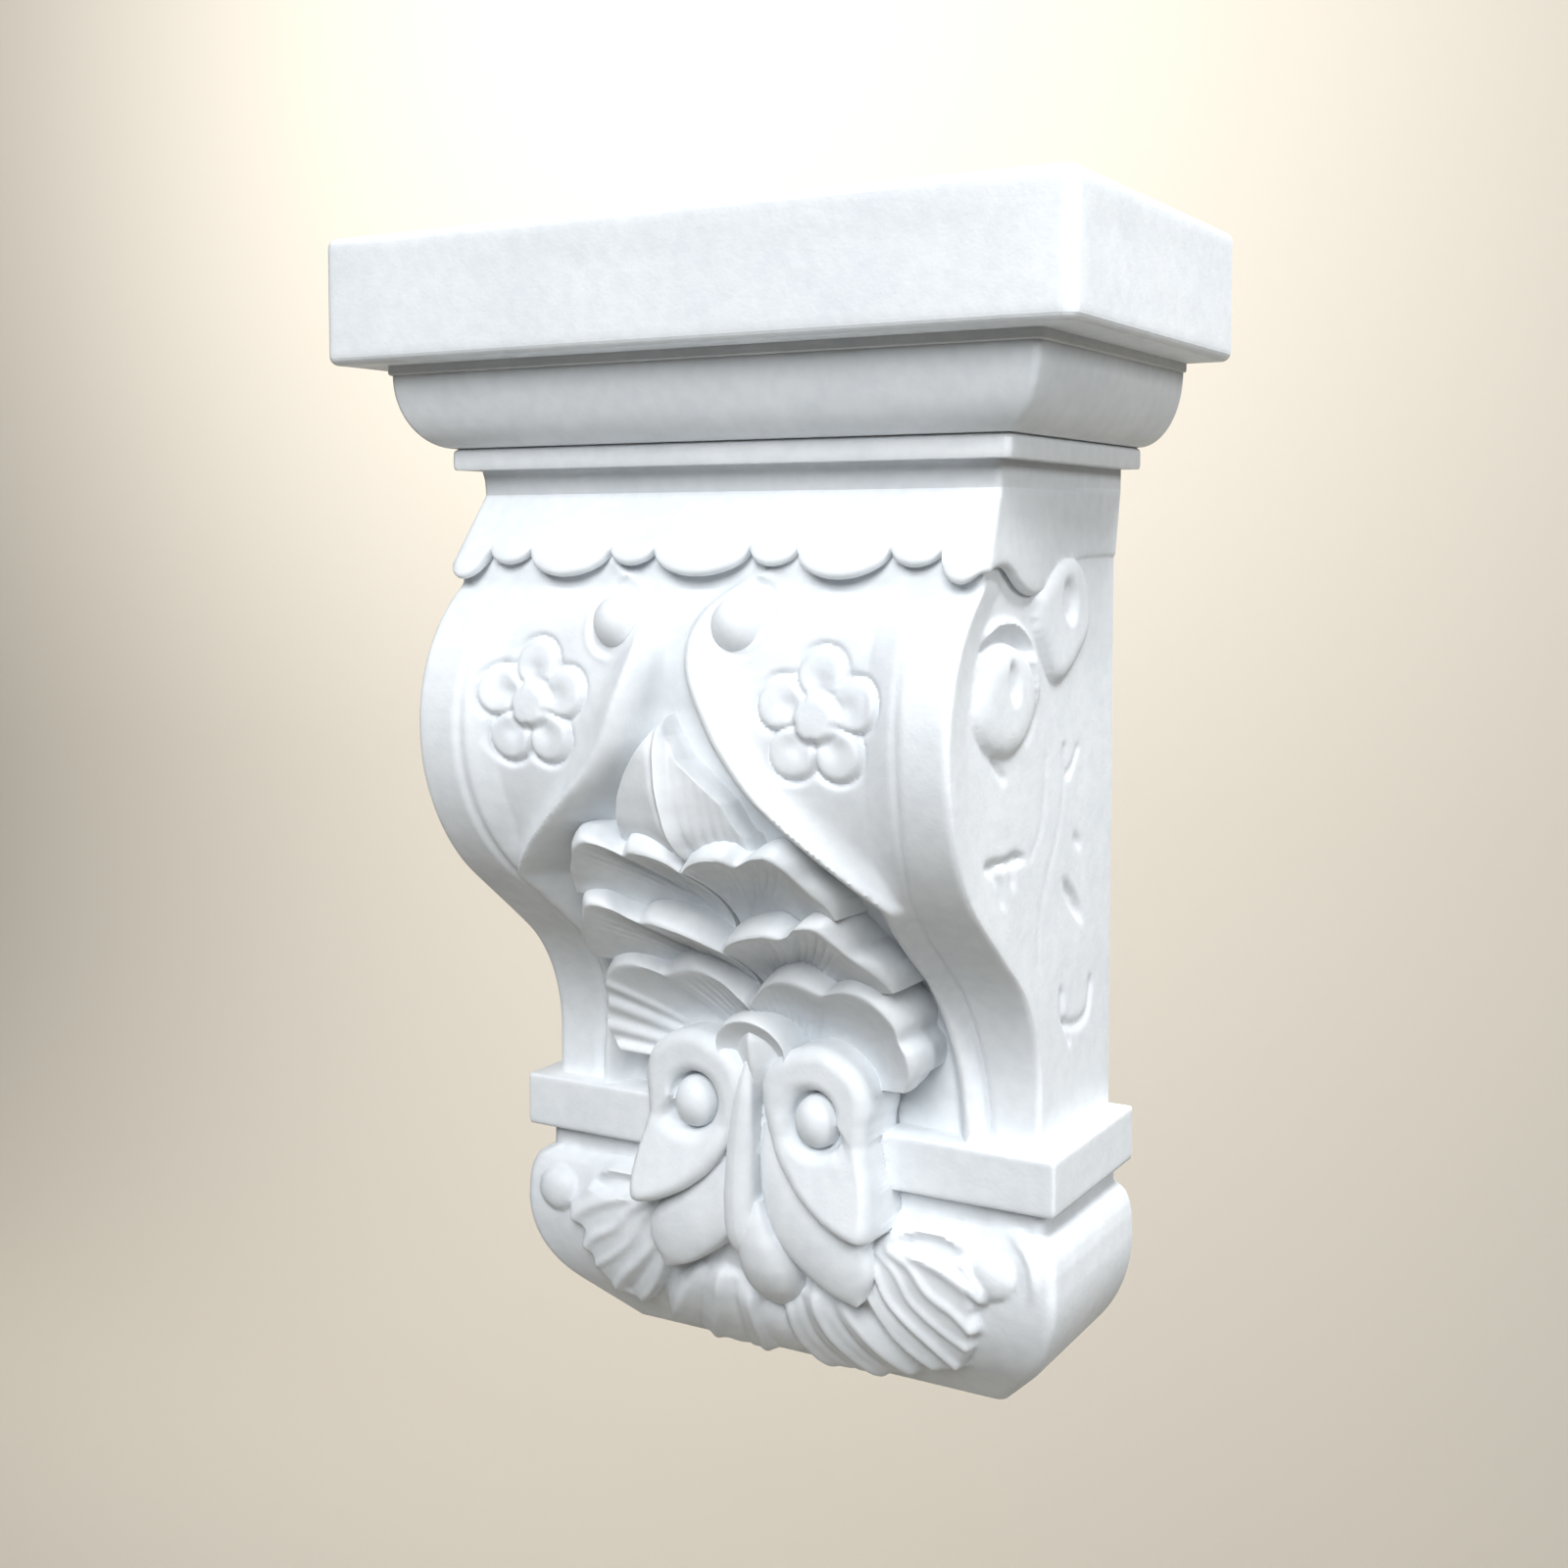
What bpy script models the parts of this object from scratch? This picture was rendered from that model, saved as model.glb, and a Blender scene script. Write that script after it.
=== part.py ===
"""A carved scroll corbel: one cast piece, flat at the back and on top.

X runs across the face, -Y comes out of the wall and +Z is up. The origin is the middle of the flat back.
Sizes are millimetres. A drop is measured down from the top of the slab, a depth out from the wall.
"""

import math

import bmesh
import bpy
from mathutils import Matrix, Vector

MM = 0.001
TOTAL_HEIGHT = 362.5

# The slab and the mouldings under it: half width, depth and drop of each edge.
SLAB_HALF, SLAB_DEPTH, SLAB_DROP = 125.0, 129.0, 39.3
SLAB_EDGE = 3.0
FILLET_HALF, FILLET_DEPTH, FILLET_DROP = 111.0, 116.5, 42.0
OVOLO_STEP, OVOLO_DROP = 1.0, 65.6
LISTEL_HALF, LISTEL_DEPTH, LISTEL_DROP = 96.0, 102.0, 71.6
NECK_HALF, NECK_DEPTH, NECK_DROP = 90.0, 94.0, 79.5

# The flared apron and its scalloped edge.
APRON_DEPTH, APRON_DROP = 110.0, 101.5
APRON_CORNER, APRON_SPREAD = 6.0, 2.5
NOTCH_DROP = 97.0
NOTCHES = (16.5, 32.5, 62.0, 78.0, 93.0)
LOBE_DROPS = (104.5, 100.5, 105.0, 100.5, 104.0)
SIDE_PLATE = 4.0
# Depth and drop along the wavy lower edge of each side.
SIDE_WAVE = ((100, 103), (92, 103.5), (80, 106), (70, 109.5), (58, 105.5), (48, 100.5), (34, 99), (20, 103))

# The S-shaped front, made of arcs: a full belly, a straight run and a hollow foot.
BODY_HALF, BODY_TOP = 88.0, 76.0
SHOULDER_DROP, SHOULDER_SLOPE = 108.0, 0.3
BELLY_DROP, BELLY_DEPTH = 150.0, 127.4
BELLY_UPPER, BELLY_LOWER = 52.0, 64.0
RUN_ANGLE = math.radians(52)
FOOT_RADIUS, FOOT_DEPTH = 50.0, 57.8
# Along each side of the belly the front stands a little wider than the trunk behind it.
FLARE, FLARE_DROPS, FLARE_BACK = 2.0, (165.0, 215.0), 16.0

# Relief on the front: a sunk floor between two comma-shaped panels inside a border.
FLOOR_CUT, PANEL_CUT = 10.0, 2.4
BORDER_INNER = 72.0
PANEL_RIM, PANEL_FOOT = 4.0, 196.0
# Half width of the sunk floor's upper edge at each drop.
CHANNEL = (
    (100, 12), (112, 14), (118, 9.5), (124, 9), (135, 12), (152, 20),
    (165, 30), (176, 42), (187, 55), (200, 66), (215, 69), (276, 70),
)

# The plain band and the cushion under it.
BAND_HALF, BAND_DEPTH, BAND_TOP, BAND_DROP = 96.0, 65.5, 275.0, 292.4
CUSHION_TOP, CUSHION_BULGE = 303.0, 317.0
CUSHION_HALF, CUSHION_DEPTH = 96.5, 66.5
CUSHION_NECK = 6.5
CUSHION_RADIUS, CUSHION_LEAN, CUSHION_RETURN = 44.0, math.radians(44), 27.0

CUSHION_ARC_END = CUSHION_BULGE + CUSHION_RADIUS * math.sin(CUSHION_LEAN)

WALL_OVERRUN = 30.0


def put(across, depth, drop):
    return Vector((across, -depth, TOTAL_HEIGHT / 2 - drop)) * MM


def steps(start, end, count):
    return [start + (end - start) * i / count for i in range(count + 1)]


def between(value, knots):
    """Straight interpolation through (position, value) pairs."""
    if value <= knots[0][0]:
        return knots[0][1]
    for (a, low), (b, high) in zip(knots, knots[1:]):
        if value <= b:
            return low + (high - low) * (value - a) / (b - a)
    return knots[-1][1]


def front_depth(drop):
    """How far out the S-shaped front stands at a given drop."""
    if drop <= BELLY_DROP:
        rise = BELLY_DROP - max(drop, SHOULDER_DROP)
        shoulder = SHOULDER_SLOPE * max(SHOULDER_DROP - drop, 0.0)
        return BELLY_DEPTH - BELLY_UPPER + math.sqrt(BELLY_UPPER**2 - rise**2) - shoulder
    lower_end = BELLY_DROP + BELLY_LOWER * math.sin(RUN_ANGLE)
    run_start = BELLY_DEPTH - BELLY_LOWER * (1 - math.cos(RUN_ANGLE))
    if drop <= lower_end:
        return BELLY_DEPTH - BELLY_LOWER + math.sqrt(BELLY_LOWER**2 - (drop - BELLY_DROP) ** 2)
    run_end = FOOT_DEPTH + FOOT_RADIUS * (1 - math.cos(RUN_ANGLE))
    run_drop = lower_end + (run_start - run_end) / math.tan(RUN_ANGLE)
    foot_end = run_drop + FOOT_RADIUS * math.sin(RUN_ANGLE)
    if drop <= run_drop:
        return run_start - (drop - lower_end) * math.tan(RUN_ANGLE)
    if drop <= foot_end:
        return FOOT_DEPTH + FOOT_RADIUS - math.sqrt(FOOT_RADIUS**2 - (foot_end - drop) ** 2)
    return FOOT_DEPTH


def cushion_inset(drop):
    """How far the cushion draws in from its fullest size at a given drop, on the front and sides alike."""
    if drop <= 300.0:
        return CUSHION_NECK
    if drop <= CUSHION_BULGE:
        return between(drop, ((CUSHION_TOP, 1.6), (309.0, 0.4), (CUSHION_BULGE, 0.0)))
    if drop <= CUSHION_ARC_END:
        return CUSHION_RADIUS - math.sqrt(CUSHION_RADIUS**2 - (drop - CUSHION_BULGE) ** 2)
    arc = CUSHION_RADIUS * (1 - math.cos(CUSHION_LEAN))
    return between(drop, ((CUSHION_ARC_END, arc), (TOTAL_HEIGHT, CUSHION_RETURN)))


class Workshop:
    """Three collections: the finished corbel, the shapes joined into it and the shapes cut from it."""

    def __init__(self):
        for found in list(bpy.data.objects):
            bpy.data.objects.remove(found)
        for found in list(bpy.data.collections):
            bpy.data.collections.remove(found)
        self.corbel, self.added, self.cut = (bpy.data.collections.new(n) for n in ("corbel", "added", "cut"))
        for group in (self.corbel, self.added, self.cut):
            bpy.context.scene.collection.children.link(group)
        for group in (self.added, self.cut):
            group.hide_render = True


def new_object(name, work, group):
    bmesh.ops.remove_doubles(work, verts=work.verts, dist=1e-6)
    bmesh.ops.recalc_face_normals(work, faces=work.faces)
    mesh = bpy.data.meshes.new(name)
    work.to_mesh(mesh)
    work.free()
    made = bpy.data.objects.new(name, mesh)
    made.display_type = "WIRE"
    group.objects.link(made)
    return made


def loft(name, sections, group):
    """Bridges closed loops of points, one to the next, and caps both ends."""
    work = bmesh.new()
    loops = []
    for section in sections:
        corners = [work.verts.new(point) for point in section]
        loops.append([work.edges.new(pair) for pair in zip(corners, corners[1:] + corners[:1])])
    for near, far in zip(loops, loops[1:]):
        bmesh.ops.bridge_loops(work, edges=near + far)
    for end in (loops[0], loops[-1]):
        bmesh.ops.edgeloop_fill(work, edges=end)
    return new_object(name, work, group)


def extruded(name, outline, way, group):
    """A flat outline pushed along one direction."""
    work = bmesh.new()
    face = work.faces.new([work.verts.new(point) for point in outline])
    pushed = bmesh.ops.extrude_face_region(work, geom=[face])
    moved = [part for part in pushed["geom"] if isinstance(part, bmesh.types.BMVert)]
    bmesh.ops.translate(work, vec=way, verts=moved)
    return new_object(name, work, group)


def dome(name, at, sizes, turn, group, around=12, up=8, about="Y"):
    """A ball with three half sizes (across, out, up), turned and set in place."""
    work = bmesh.new()
    bmesh.ops.create_uvsphere(work, u_segments=around, v_segments=up, radius=1.0)
    stretch = Matrix.Diagonal([*(size * MM for size in sizes), 1.0])
    place = Matrix.Translation(at) @ Matrix.Rotation(turn, 4, about)
    bmesh.ops.transform(work, matrix=place @ stretch, verts=work.verts)
    return new_object(name, work, group)


def roll(name, points, radii, group, sides=1):
    """A round bar along the points, thicker and thinner as the radii say."""
    path = bpy.data.curves.new(name, "CURVE")
    path.dimensions = "3D"
    path.bevel_depth = MM
    path.bevel_resolution = sides
    path.use_fill_caps = True
    line = path.splines.new("POLY")
    line.points.add(len(points) - 1)
    for spot, point, radius in zip(line.points, points, radii):
        spot.co = (*point, 1.0)
        spot.radius = radius
    source = bpy.data.objects.new(name + "_path", path)
    group.objects.link(source)
    bpy.context.view_layer.update()
    mesh = bpy.data.meshes.new_from_object(source.evaluated_get(bpy.context.evaluated_depsgraph_get()))
    bpy.data.objects.remove(source)
    work = bmesh.new()
    work.from_mesh(mesh)
    return new_object(name, work, group)


def mirror(source, group):
    work = bmesh.new()
    work.from_mesh(source.data)
    bmesh.ops.scale(work, vec=(-1, 1, 1), verts=work.verts)
    return new_object(source.name + "_left", work, group)


def apply_boolean(target, operation, cutter=None, group=None):
    step = target.modifiers.new(operation.title(), "BOOLEAN")
    step.operation = operation
    step.solver = "EXACT"
    if group:
        step.operand_type = "COLLECTION"
        step.collection = group
    else:
        step.object = cutter
    with bpy.context.temp_override(object=target, active_object=target):
        bpy.ops.object.modifier_apply(modifier=step.name)


def ring(half, depth, drop):
    """One level of a moulding that returns along both sides."""
    plan = ((-half, -WALL_OVERRUN), (-half, depth), (half, depth), (half, -WALL_OVERRUN))
    return [put(across, out, drop) for across, out in plan]


def cap(group):
    slab = loft("slab", [ring(SLAB_HALF, SLAB_DEPTH, drop) for drop in (0.0, SLAB_DROP)], group)
    soften = slab.modifiers.new("soft edges", "BEVEL")
    soften.width = SLAB_EDGE * MM
    soften.segments = 2
    with bpy.context.temp_override(object=slab, active_object=slab):
        bpy.ops.object.modifier_apply(modifier=soften.name)
    levels = [(FILLET_HALF, FILLET_DEPTH, SLAB_DROP - 5.0), (FILLET_HALF, FILLET_DEPTH, FILLET_DROP)]
    for turn in steps(0.0, math.pi / 2, 6):
        out = math.cos(turn)
        levels.append((
            LISTEL_HALF + (FILLET_HALF - OVOLO_STEP - LISTEL_HALF) * out,
            LISTEL_DEPTH + (FILLET_DEPTH - OVOLO_STEP - LISTEL_DEPTH) * out,
            FILLET_DROP + (OVOLO_DROP - FILLET_DROP) * math.sin(turn),
        ))
    levels.append((LISTEL_HALF, LISTEL_DEPTH, LISTEL_DROP))
    levels += [(NECK_HALF, NECK_DEPTH, drop) for drop in (LISTEL_DROP, NECK_DROP)]
    loft("mouldings", [ring(*level) for level in levels], group)


def scalloped_edge():
    """(across, drop) along the apron's lower edge, from the middle out to the corner."""
    edge = []
    inner = -NOTCHES[0]
    for outer, foot in zip(NOTCHES, LOBE_DROPS):
        for share in steps(0.0, 1.0, 6)[:-1]:
            hang = math.sin(math.pi * share) ** 0.7 if share else 0.0
            edge.append((inner + (outer - inner) * share, NOTCH_DROP + (foot - NOTCH_DROP) * hang))
        inner = outer
    return [spot for spot in edge if spot[0] > -0.01] + [(NOTCHES[-1], NOTCH_DROP + 4.0)]


def apron(group, cutters):
    flare = (APRON_DEPTH - NECK_DEPTH) / (APRON_DROP - NECK_DROP)
    lowest = max(LOBE_DROPS) + 2.0
    foot_depth = APRON_DEPTH + flare * (lowest - APRON_DROP)
    levels = (
        (NECK_DROP - 3.0, NECK_DEPTH, 0.4, NECK_HALF),
        (NECK_DROP, NECK_DEPTH, 0.4, NECK_HALF),
        (lowest, foot_depth, APRON_CORNER, NECK_HALF + APRON_SPREAD),
    )
    plate = loft(
        "apron",
        [
            [
                put(-NECK_HALF, NECK_DEPTH - 50, drop),
                put(-half, depth - cut, drop),
                put(-half + cut, depth, drop),
                put(half - cut, depth, drop),
                put(half, depth - cut, drop),
                put(NECK_HALF, NECK_DEPTH - 50, drop),
            ]
            for drop, depth, cut, half in levels
        ],
        group,
    )
    right = scalloped_edge()
    edge = right[::-1] + [(-across, drop) for across, drop in right[1:]]
    corners = [(NECK_HALF + 9, 60), *edge, (-NECK_HALF - 9, 60)]
    outline = [put(across, -50, drop) for across, drop in corners]
    keep = extruded("scallops", outline, Vector((0, -0.25, 0)), cutters)
    apply_boolean(plate, "INTERSECT", keep)
    bpy.data.objects.remove(keep)
    # Along each side the edge waves down once and lifts again over the small rear scroll.
    wave = (*SIDE_WAVE, (-WALL_OVERRUN, 103))
    outline = [put(0, depth, drop) for depth, drop in ((98, BODY_TOP), *wave, (-WALL_OVERRUN, BODY_TOP))]
    for side in (1, -1):
        shifted = [point + Vector((side * (NECK_HALF - SIDE_PLATE) * MM, 0, 0)) for point in outline]
        extruded("side_apron", shifted, Vector((side * SIDE_PLATE * MM, 0, 0)), group)


def body(group, cutters):
    """The trunk with its S-shaped front, the floor sunk down its middle and the panel at each side."""
    upper, lower = steps(SHOULDER_DROP, BELLY_DROP, 6), steps(BELLY_DROP, 200.0, 7)[1:]
    drops = [BODY_TOP, 100.0, *upper, *lower, *steps(214.0, 262.0, 7), BAND_TOP + 4.0]
    sections = []
    for drop in drops:
        out = front_depth(drop)
        wide = BODY_HALF + between(drop, ((FLARE_DROPS[0], FLARE), (FLARE_DROPS[1], 0.3)))
        right = [(wide, out), (BODY_HALF, out - FLARE_BACK), (BODY_HALF, -WALL_OVERRUN)]
        left = [(-across, depth) for across, depth in right[::-1]]
        sections.append([put(across, depth, drop) for across, depth in left + right])
    trunk = loft("trunk", sections, group)
    sunk = []
    for drop in drops[1:]:
        edge, out = between(drop, CHANNEL), front_depth(drop)
        foot = max(edge - FLOOR_CUT * between(drop, ((150, 0.85), (210, 0.45))), 2.0)
        right = [(foot, out - FLOOR_CUT), (edge + 1.0, out + 1.0)]
        left = [(-across, depth) for across, depth in right[::-1]]
        sunk.append([put(across, depth, drop) for across, depth in left + right])
    apply_boolean(trunk, "DIFFERENCE", loft("channel", sunk, cutters))
    panel = []
    for drop in [d for d in drops[1:] if d <= PANEL_FOOT]:
        edge, out = between(drop, CHANNEL) + PANEL_RIM, front_depth(drop)
        outline = (
            (edge - 1.0, out + 1.0), (edge + 1.5, out - PANEL_CUT),
            (BORDER_INNER - 3.0, out - PANEL_CUT), (BORDER_INNER + 1.0, out + 1.0),
        )
        panel.append([put(across, depth, drop) for across, depth in outline])
    right = loft("panel", panel, cutters)
    for cutter in (right, mirror(right, cutters)):
        apply_boolean(trunk, "DIFFERENCE", cutter)


def cushion(group):
    """The block under the band: a short neck, a full bulge and a long curve back under to a small flat foot."""
    levels = [(BAND_HALF, BAND_DEPTH, BAND_TOP), (BAND_HALF, BAND_DEPTH, BAND_DROP)]
    loft("band", [ring(*level) for level in levels], group)
    drops = [BAND_DROP - 3.0, 300.0, CUSHION_TOP, 309.0, *steps(CUSHION_BULGE, CUSHION_ARC_END, 5), TOTAL_HEIGHT]
    sections = []
    for drop in drops:
        inset = cushion_inset(drop)
        sections.append(ring(CUSHION_HALF - inset, CUSHION_DEPTH - inset, drop))
    loft("cushion", sections, group)


def leaf(name, root, rim, group):
    """A cupped leaf: rays run out from its root to the points of its rim, rise to a lip and drop behind it."""
    sections = []
    root_point = put(*root)
    for number, (across, depth, drop) in enumerate(rim):
        back = 9.0 - 6.5 * number / (len(rim) - 1)
        lip = put(across, depth, drop)
        flat = Vector((lip.x - root_point.x, 0, lip.z - root_point.z))
        reach = flat.normalized() * MM
        inside = Vector((0, 1, 0)) * MM
        hollow = root_point.lerp(lip, 0.6) + inside * 2.5
        sections.append([
            root_point + reach * 1.5 + inside * 30,
            root_point + reach * 1.5,
            hollow,
            lip,
            lip + reach * back * 0.45 + inside * 1.5,
            lip + reach * back + inside * 9.0,
            lip + reach * back + inside * 30,
        ])
    return loft(name, sections, group)


# Each leaf of the spray: its root, then its rim from the stem outward, as (across, depth, drop).
SPRAY = (
    (
        (1.0, 102, 203),
        (1.5, 117, 187), (8, 122, 181), (15, 123, 181.5), (20, 120, 184), (25, 126, 180),
        (31, 126.5, 179.5), (36, 123, 183), (39.5, 116, 189), (43, 109, 196),
    ),
    (
        (1.0, 84, 234),
        (1.5, 96, 217), (10, 104, 212), (19, 107, 210), (26, 104, 211.5), (31, 112, 206),
        (37.5, 115, 204), (44, 110, 207), (50, 100, 214), (53, 91, 222),
    ),
    (
        (1.0, 74, 257),
        (1.5, 86, 239), (10, 91, 234), (20, 93, 231), (30, 88, 232), (36, 92, 229), (42, 93, 228.5),
        (48.5, 89, 232), (50, 83, 238), (55.5, 84, 242), (54.5, 76, 251), (48, 70, 259),
    ),
)


TOP_LEAF_TIP, TOP_LEAF_FOOT, TOP_LEAF_HALF = (147.0, 127.8), (192.0, 112.0), 22.0
# The swelling that the leaves grow from: drop, half width and depth.
MOUND = (
    (184, 8, 106), (195, 26, 101), (210, 38, 93), (225, 44, 85), (240, 47, 77), (256, 46, 70), (272, 40, 66),
)


def spray(group):
    """A pointed leaf at the top, then three pairs of cupped leaves down to the volutes."""
    sections = []
    for share in steps(0.0, 1.0, 6):
        drop = TOP_LEAF_TIP[0] + (TOP_LEAF_FOOT[0] - TOP_LEAF_TIP[0]) * share
        depth = TOP_LEAF_TIP[1] + (TOP_LEAF_FOOT[1] - TOP_LEAF_TIP[1]) * share
        half = 1.0 + TOP_LEAF_HALF * math.sin(math.pi / 2 * min(share * 1.25, 1.0))
        right = [(half * 0.45, depth - 0.5), (half, depth - 4.0), (half, depth - 29.0)]
        left = [(-across, out) for across, out in right[::-1]]
        sections.append([put(across, out, drop) for across, out in left + [(0.0, depth - 2.0)] + right])
    loft("top_leaf", sections, group)
    sections = []
    for drop, half, depth in MOUND:
        right = [(half * 0.5, depth), (half, depth - 9.0), (half, 40.0)]
        left = [(-across, out) for across, out in right[::-1]]
        sections.append([put(across, out, drop) for across, out in left + right])
    loft("mound", sections, group)
    for number, (root, *rim) in enumerate(SPRAY, 1):
        mirror(leaf(f"leaf_{number}", root, rim, group), group)


def volutes(group):
    """A pair of scrolls over the band, each with an eye and two trailing lobes, and a drop between them."""
    eye_across, eye_drop, eye_depth = 23.5, 269.5, 80.0
    points, radii = [], []
    for turn in steps(math.radians(215), math.radians(-75), 13):
        share = (math.radians(215) - turn) / math.radians(290)
        reach = 12.5 + 4.5 * share
        across, drop = eye_across - math.cos(turn) * reach, eye_drop - math.sin(turn) * reach * 1.1
        points.append(put(across, eye_depth - 3.5, drop))
        radii.append(2.5 + 4.8 * math.sin(min(share * 1.6, 1.0) * math.pi / 2))
    upper = [put(11, 77, 279), put(17, 78.5, 288), put(26, 78, 296), put(35, 76, 303), put(41, 72, 308)]
    lower = [put(4, 74, 284), put(8, 76, 298), put(15, 75, 311), put(25, 72, 321), put(35, 66, 329)]
    made = [
        roll("volute", points, radii, group, 2),
        dome("volute_eye", put(eye_across, eye_depth - 1.0, eye_drop), (8.0, 8.0, 8.5), 0.0, group),
        dome("volute_heart", put(eye_across, 66.0, eye_drop + 2), (19.0, 13.5, 22.0), 0.0, group),
        roll("upper_lobe", upper, [4.0, 8.0, 10.0, 7.5, 2.5], group, 2),
        roll("lower_lobe", lower, [2.5, 5.5, 8.5, 8.5, 3.0], group, 2),
    ]
    for shape in made:
        mirror(shape, group)
    stem = [put(0, 72, 258), put(0, 78, 280), put(0, 76, 300), put(0, 70, 318)]
    roll("stem", stem, [2.5, 3.4, 4.0, 5.0], group, 2)
    dome("drop", put(0, 61.0, 321.0), (10.0, 15.0, 18.0), 0.0, group)


# Ridges of the leaf that sweeps out over each side of the cushion, as (across, drop) from its root.
FAN = (
    ((46, 307.0), (56, 307.5), (66, 312.0), (74, 320.0)),
    ((46, 311.0), (57, 319.0), (66, 325.0), (72, 332.0)),
    ((43, 313.0), (50, 323.0), (59, 330.5), (68, 337.0)),
    ((38, 313.0), (43, 324.0), (52, 334.0), (63, 343.5)),
    ((33, 317.0), (37, 328.0), (44, 338.0), (54, 348.0)),
)
FAN_RADII = (4.0, 5.0, 5.0, 2.5)
# Rounded lobes under the scrolls: across, drop and half width.
UNDER_LOBES = ((13, 343, 14), (33, 345, 14), (53, 342, 12))


def foot_leaves(group):
    """A ridged leaf swept out both ways over the cushion, with a round button past the end of each."""
    made = [dome("button", put(83.0, 66.0, 311.0), (7.5, 9.0, 7.5), 0.0, group)]
    for ridge in FAN:
        points = [put(across, CUSHION_DEPTH - cushion_inset(drop) + 0.5, drop) for across, drop in ridge]
        made.append(roll("fan", points, FAN_RADII, group))
    for across, drop, width in UNDER_LOBES:
        depth = CUSHION_DEPTH - cushion_inset(drop) - 6.0
        made.append(dome("under_lobe", put(across, depth, drop), (width, 12.0, 16.0), 0.0, group, 10, 6))
    for shape in made:
        mirror(shape, group)


# A bead and a five-petalled flower on each panel: across, drop and size.
BEAD, FLOWER = (20.5, 117.0, 8.5), (47.5, 143.0)
PETALS, PETAL_REACH, PETAL_SIZE = 5, 12.5, 7.6


def flowers_and_beads(group):
    for side in (1, -1):
        across, drop, size = BEAD
        dome("bead", put(side * across, front_depth(drop) - 1.5, drop), (size, size - 1.0, size), 0.0, group)
        across, drop = FLOWER
        middle = put(side * across, front_depth(drop) - PANEL_CUT, drop)
        dome("flower_middle", middle, (5.0, 4.2, 5.0), 0.0, group, 10, 6)
        for petal in range(PETALS):
            turn = math.radians(90 + 360 / PETALS * petal)
            beside, below = side * across + PETAL_REACH * math.cos(turn), drop - PETAL_REACH * math.sin(turn)
            spot = put(beside, front_depth(below) - PANEL_CUT - 0.5, below)
            dome("petal", spot, (PETAL_SIZE, 2.6, PETAL_SIZE), 0.0, group, 10, 6)


# Scroll centres on the side face, and the small husks below them, as depth and drop (then out, up and lean).
FRONT_SCROLL, REAR_SCROLL = (89, 137), (47, 116)
HUSKS = (
    (88, 184, 9, 4.5, -8), (80, 191, 4, 6.5, 25), (41, 159, 6.5, 4, 0), (36, 186, 5, 3, 10),
    (37, 203, 12, 4, -40), (34, 239, 12, 5, -12), (28, 247, 5, 6, 20),
)


def side_scrolls(group):
    """The front scroll, the small rear scroll and the husks below them, the same on each side."""
    depth, drop = FRONT_SCROLL
    face = BODY_HALF - 0.5
    hoop = [
        put(face, depth - 23.0 * math.cos(turn), drop - 19.0 * math.sin(turn))
        for turn in steps(0.0, 2 * math.pi, 16)
    ]
    made = [
        roll("scroll_ring", hoop[:-1] + hoop[:1], [2.6] * len(hoop), group),
        dome("scroll_disc", put(face, depth, drop), (4.0, 16.0, 12.5), 0.0, group),
    ]
    depth, drop = REAR_SCROLL
    turns, reaches = steps(math.radians(-60), math.radians(300), 12), steps(12.0, 8.0, 12)
    coil = [
        put(face, depth - reach * math.cos(turn), drop - reach * 1.15 * math.sin(turn))
        for turn, reach in zip(turns, reaches)
    ]
    made.append(roll("rear_scroll", coil, [2.2] * len(coil), group))
    made.append(dome("rear_eye", put(face, depth, drop), (3.0, 4.5, 5.0), 0.0, group, 10, 6))
    for depth, drop, out, up, lean in HUSKS:
        made.append(dome("husk", put(face, depth, drop), (2.6, out, up), math.radians(lean), group, 10, 6, "X"))
    for shape in made:
        mirror(shape, group)


def build():
    shop = Workshop()
    cap(shop.added)
    apron(shop.added, shop.cut)
    body(shop.added, shop.cut)
    cushion(shop.added)
    spray(shop.added)
    volutes(shop.added)
    foot_leaves(shop.added)
    flowers_and_beads(shop.added)
    side_scrolls(shop.added)
    whole = shop.added.objects["slab"]
    shop.added.objects.unlink(whole)
    shop.corbel.objects.link(whole)
    whole.name = "corbel"
    apply_boolean(whole, "UNION", group=shop.added)
    # Cut flat at the wall and at the foot.
    wall = [put(side, 0.0, drop) for side, drop in ((-200, -20), (200, -20), (200, 400), (-200, 400))]
    floor = [put(side, out, TOTAL_HEIGHT) for side, out in ((-200, -50), (200, -50), (200, 200), (-200, 200))]
    for name, outline, way in (("behind", wall, Vector((0, 0.1, 0))), ("below", floor, Vector((0, 0, -0.1)))):
        apply_boolean(whole, "DIFFERENCE", extruded(name, outline, way, shop.cut))
    whole.display_type = "TEXTURED"
    plaster = bpy.data.materials.new("cast plaster")
    plaster.use_nodes = True
    surface = plaster.node_tree.nodes["Principled BSDF"]
    surface.inputs["Base Color"].default_value = (0.8, 0.81, 0.82, 1.0)
    surface.inputs["Roughness"].default_value = 0.6
    whole.data.materials.clear()
    whole.data.materials.append(plaster)


build()
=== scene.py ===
# %% [markdown]
# # A carved scroll corbel, cast in plaster
# This lesson dresses one casting: a wall bracket with a slab on top, a scalloped apron, an S-shaped front with
# flowers and a spray of leaves, and a cushion with scrolls at its foot. The frame is the solid model of the
# same casting. It stays fixed, and gives every size and place used here.

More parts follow.
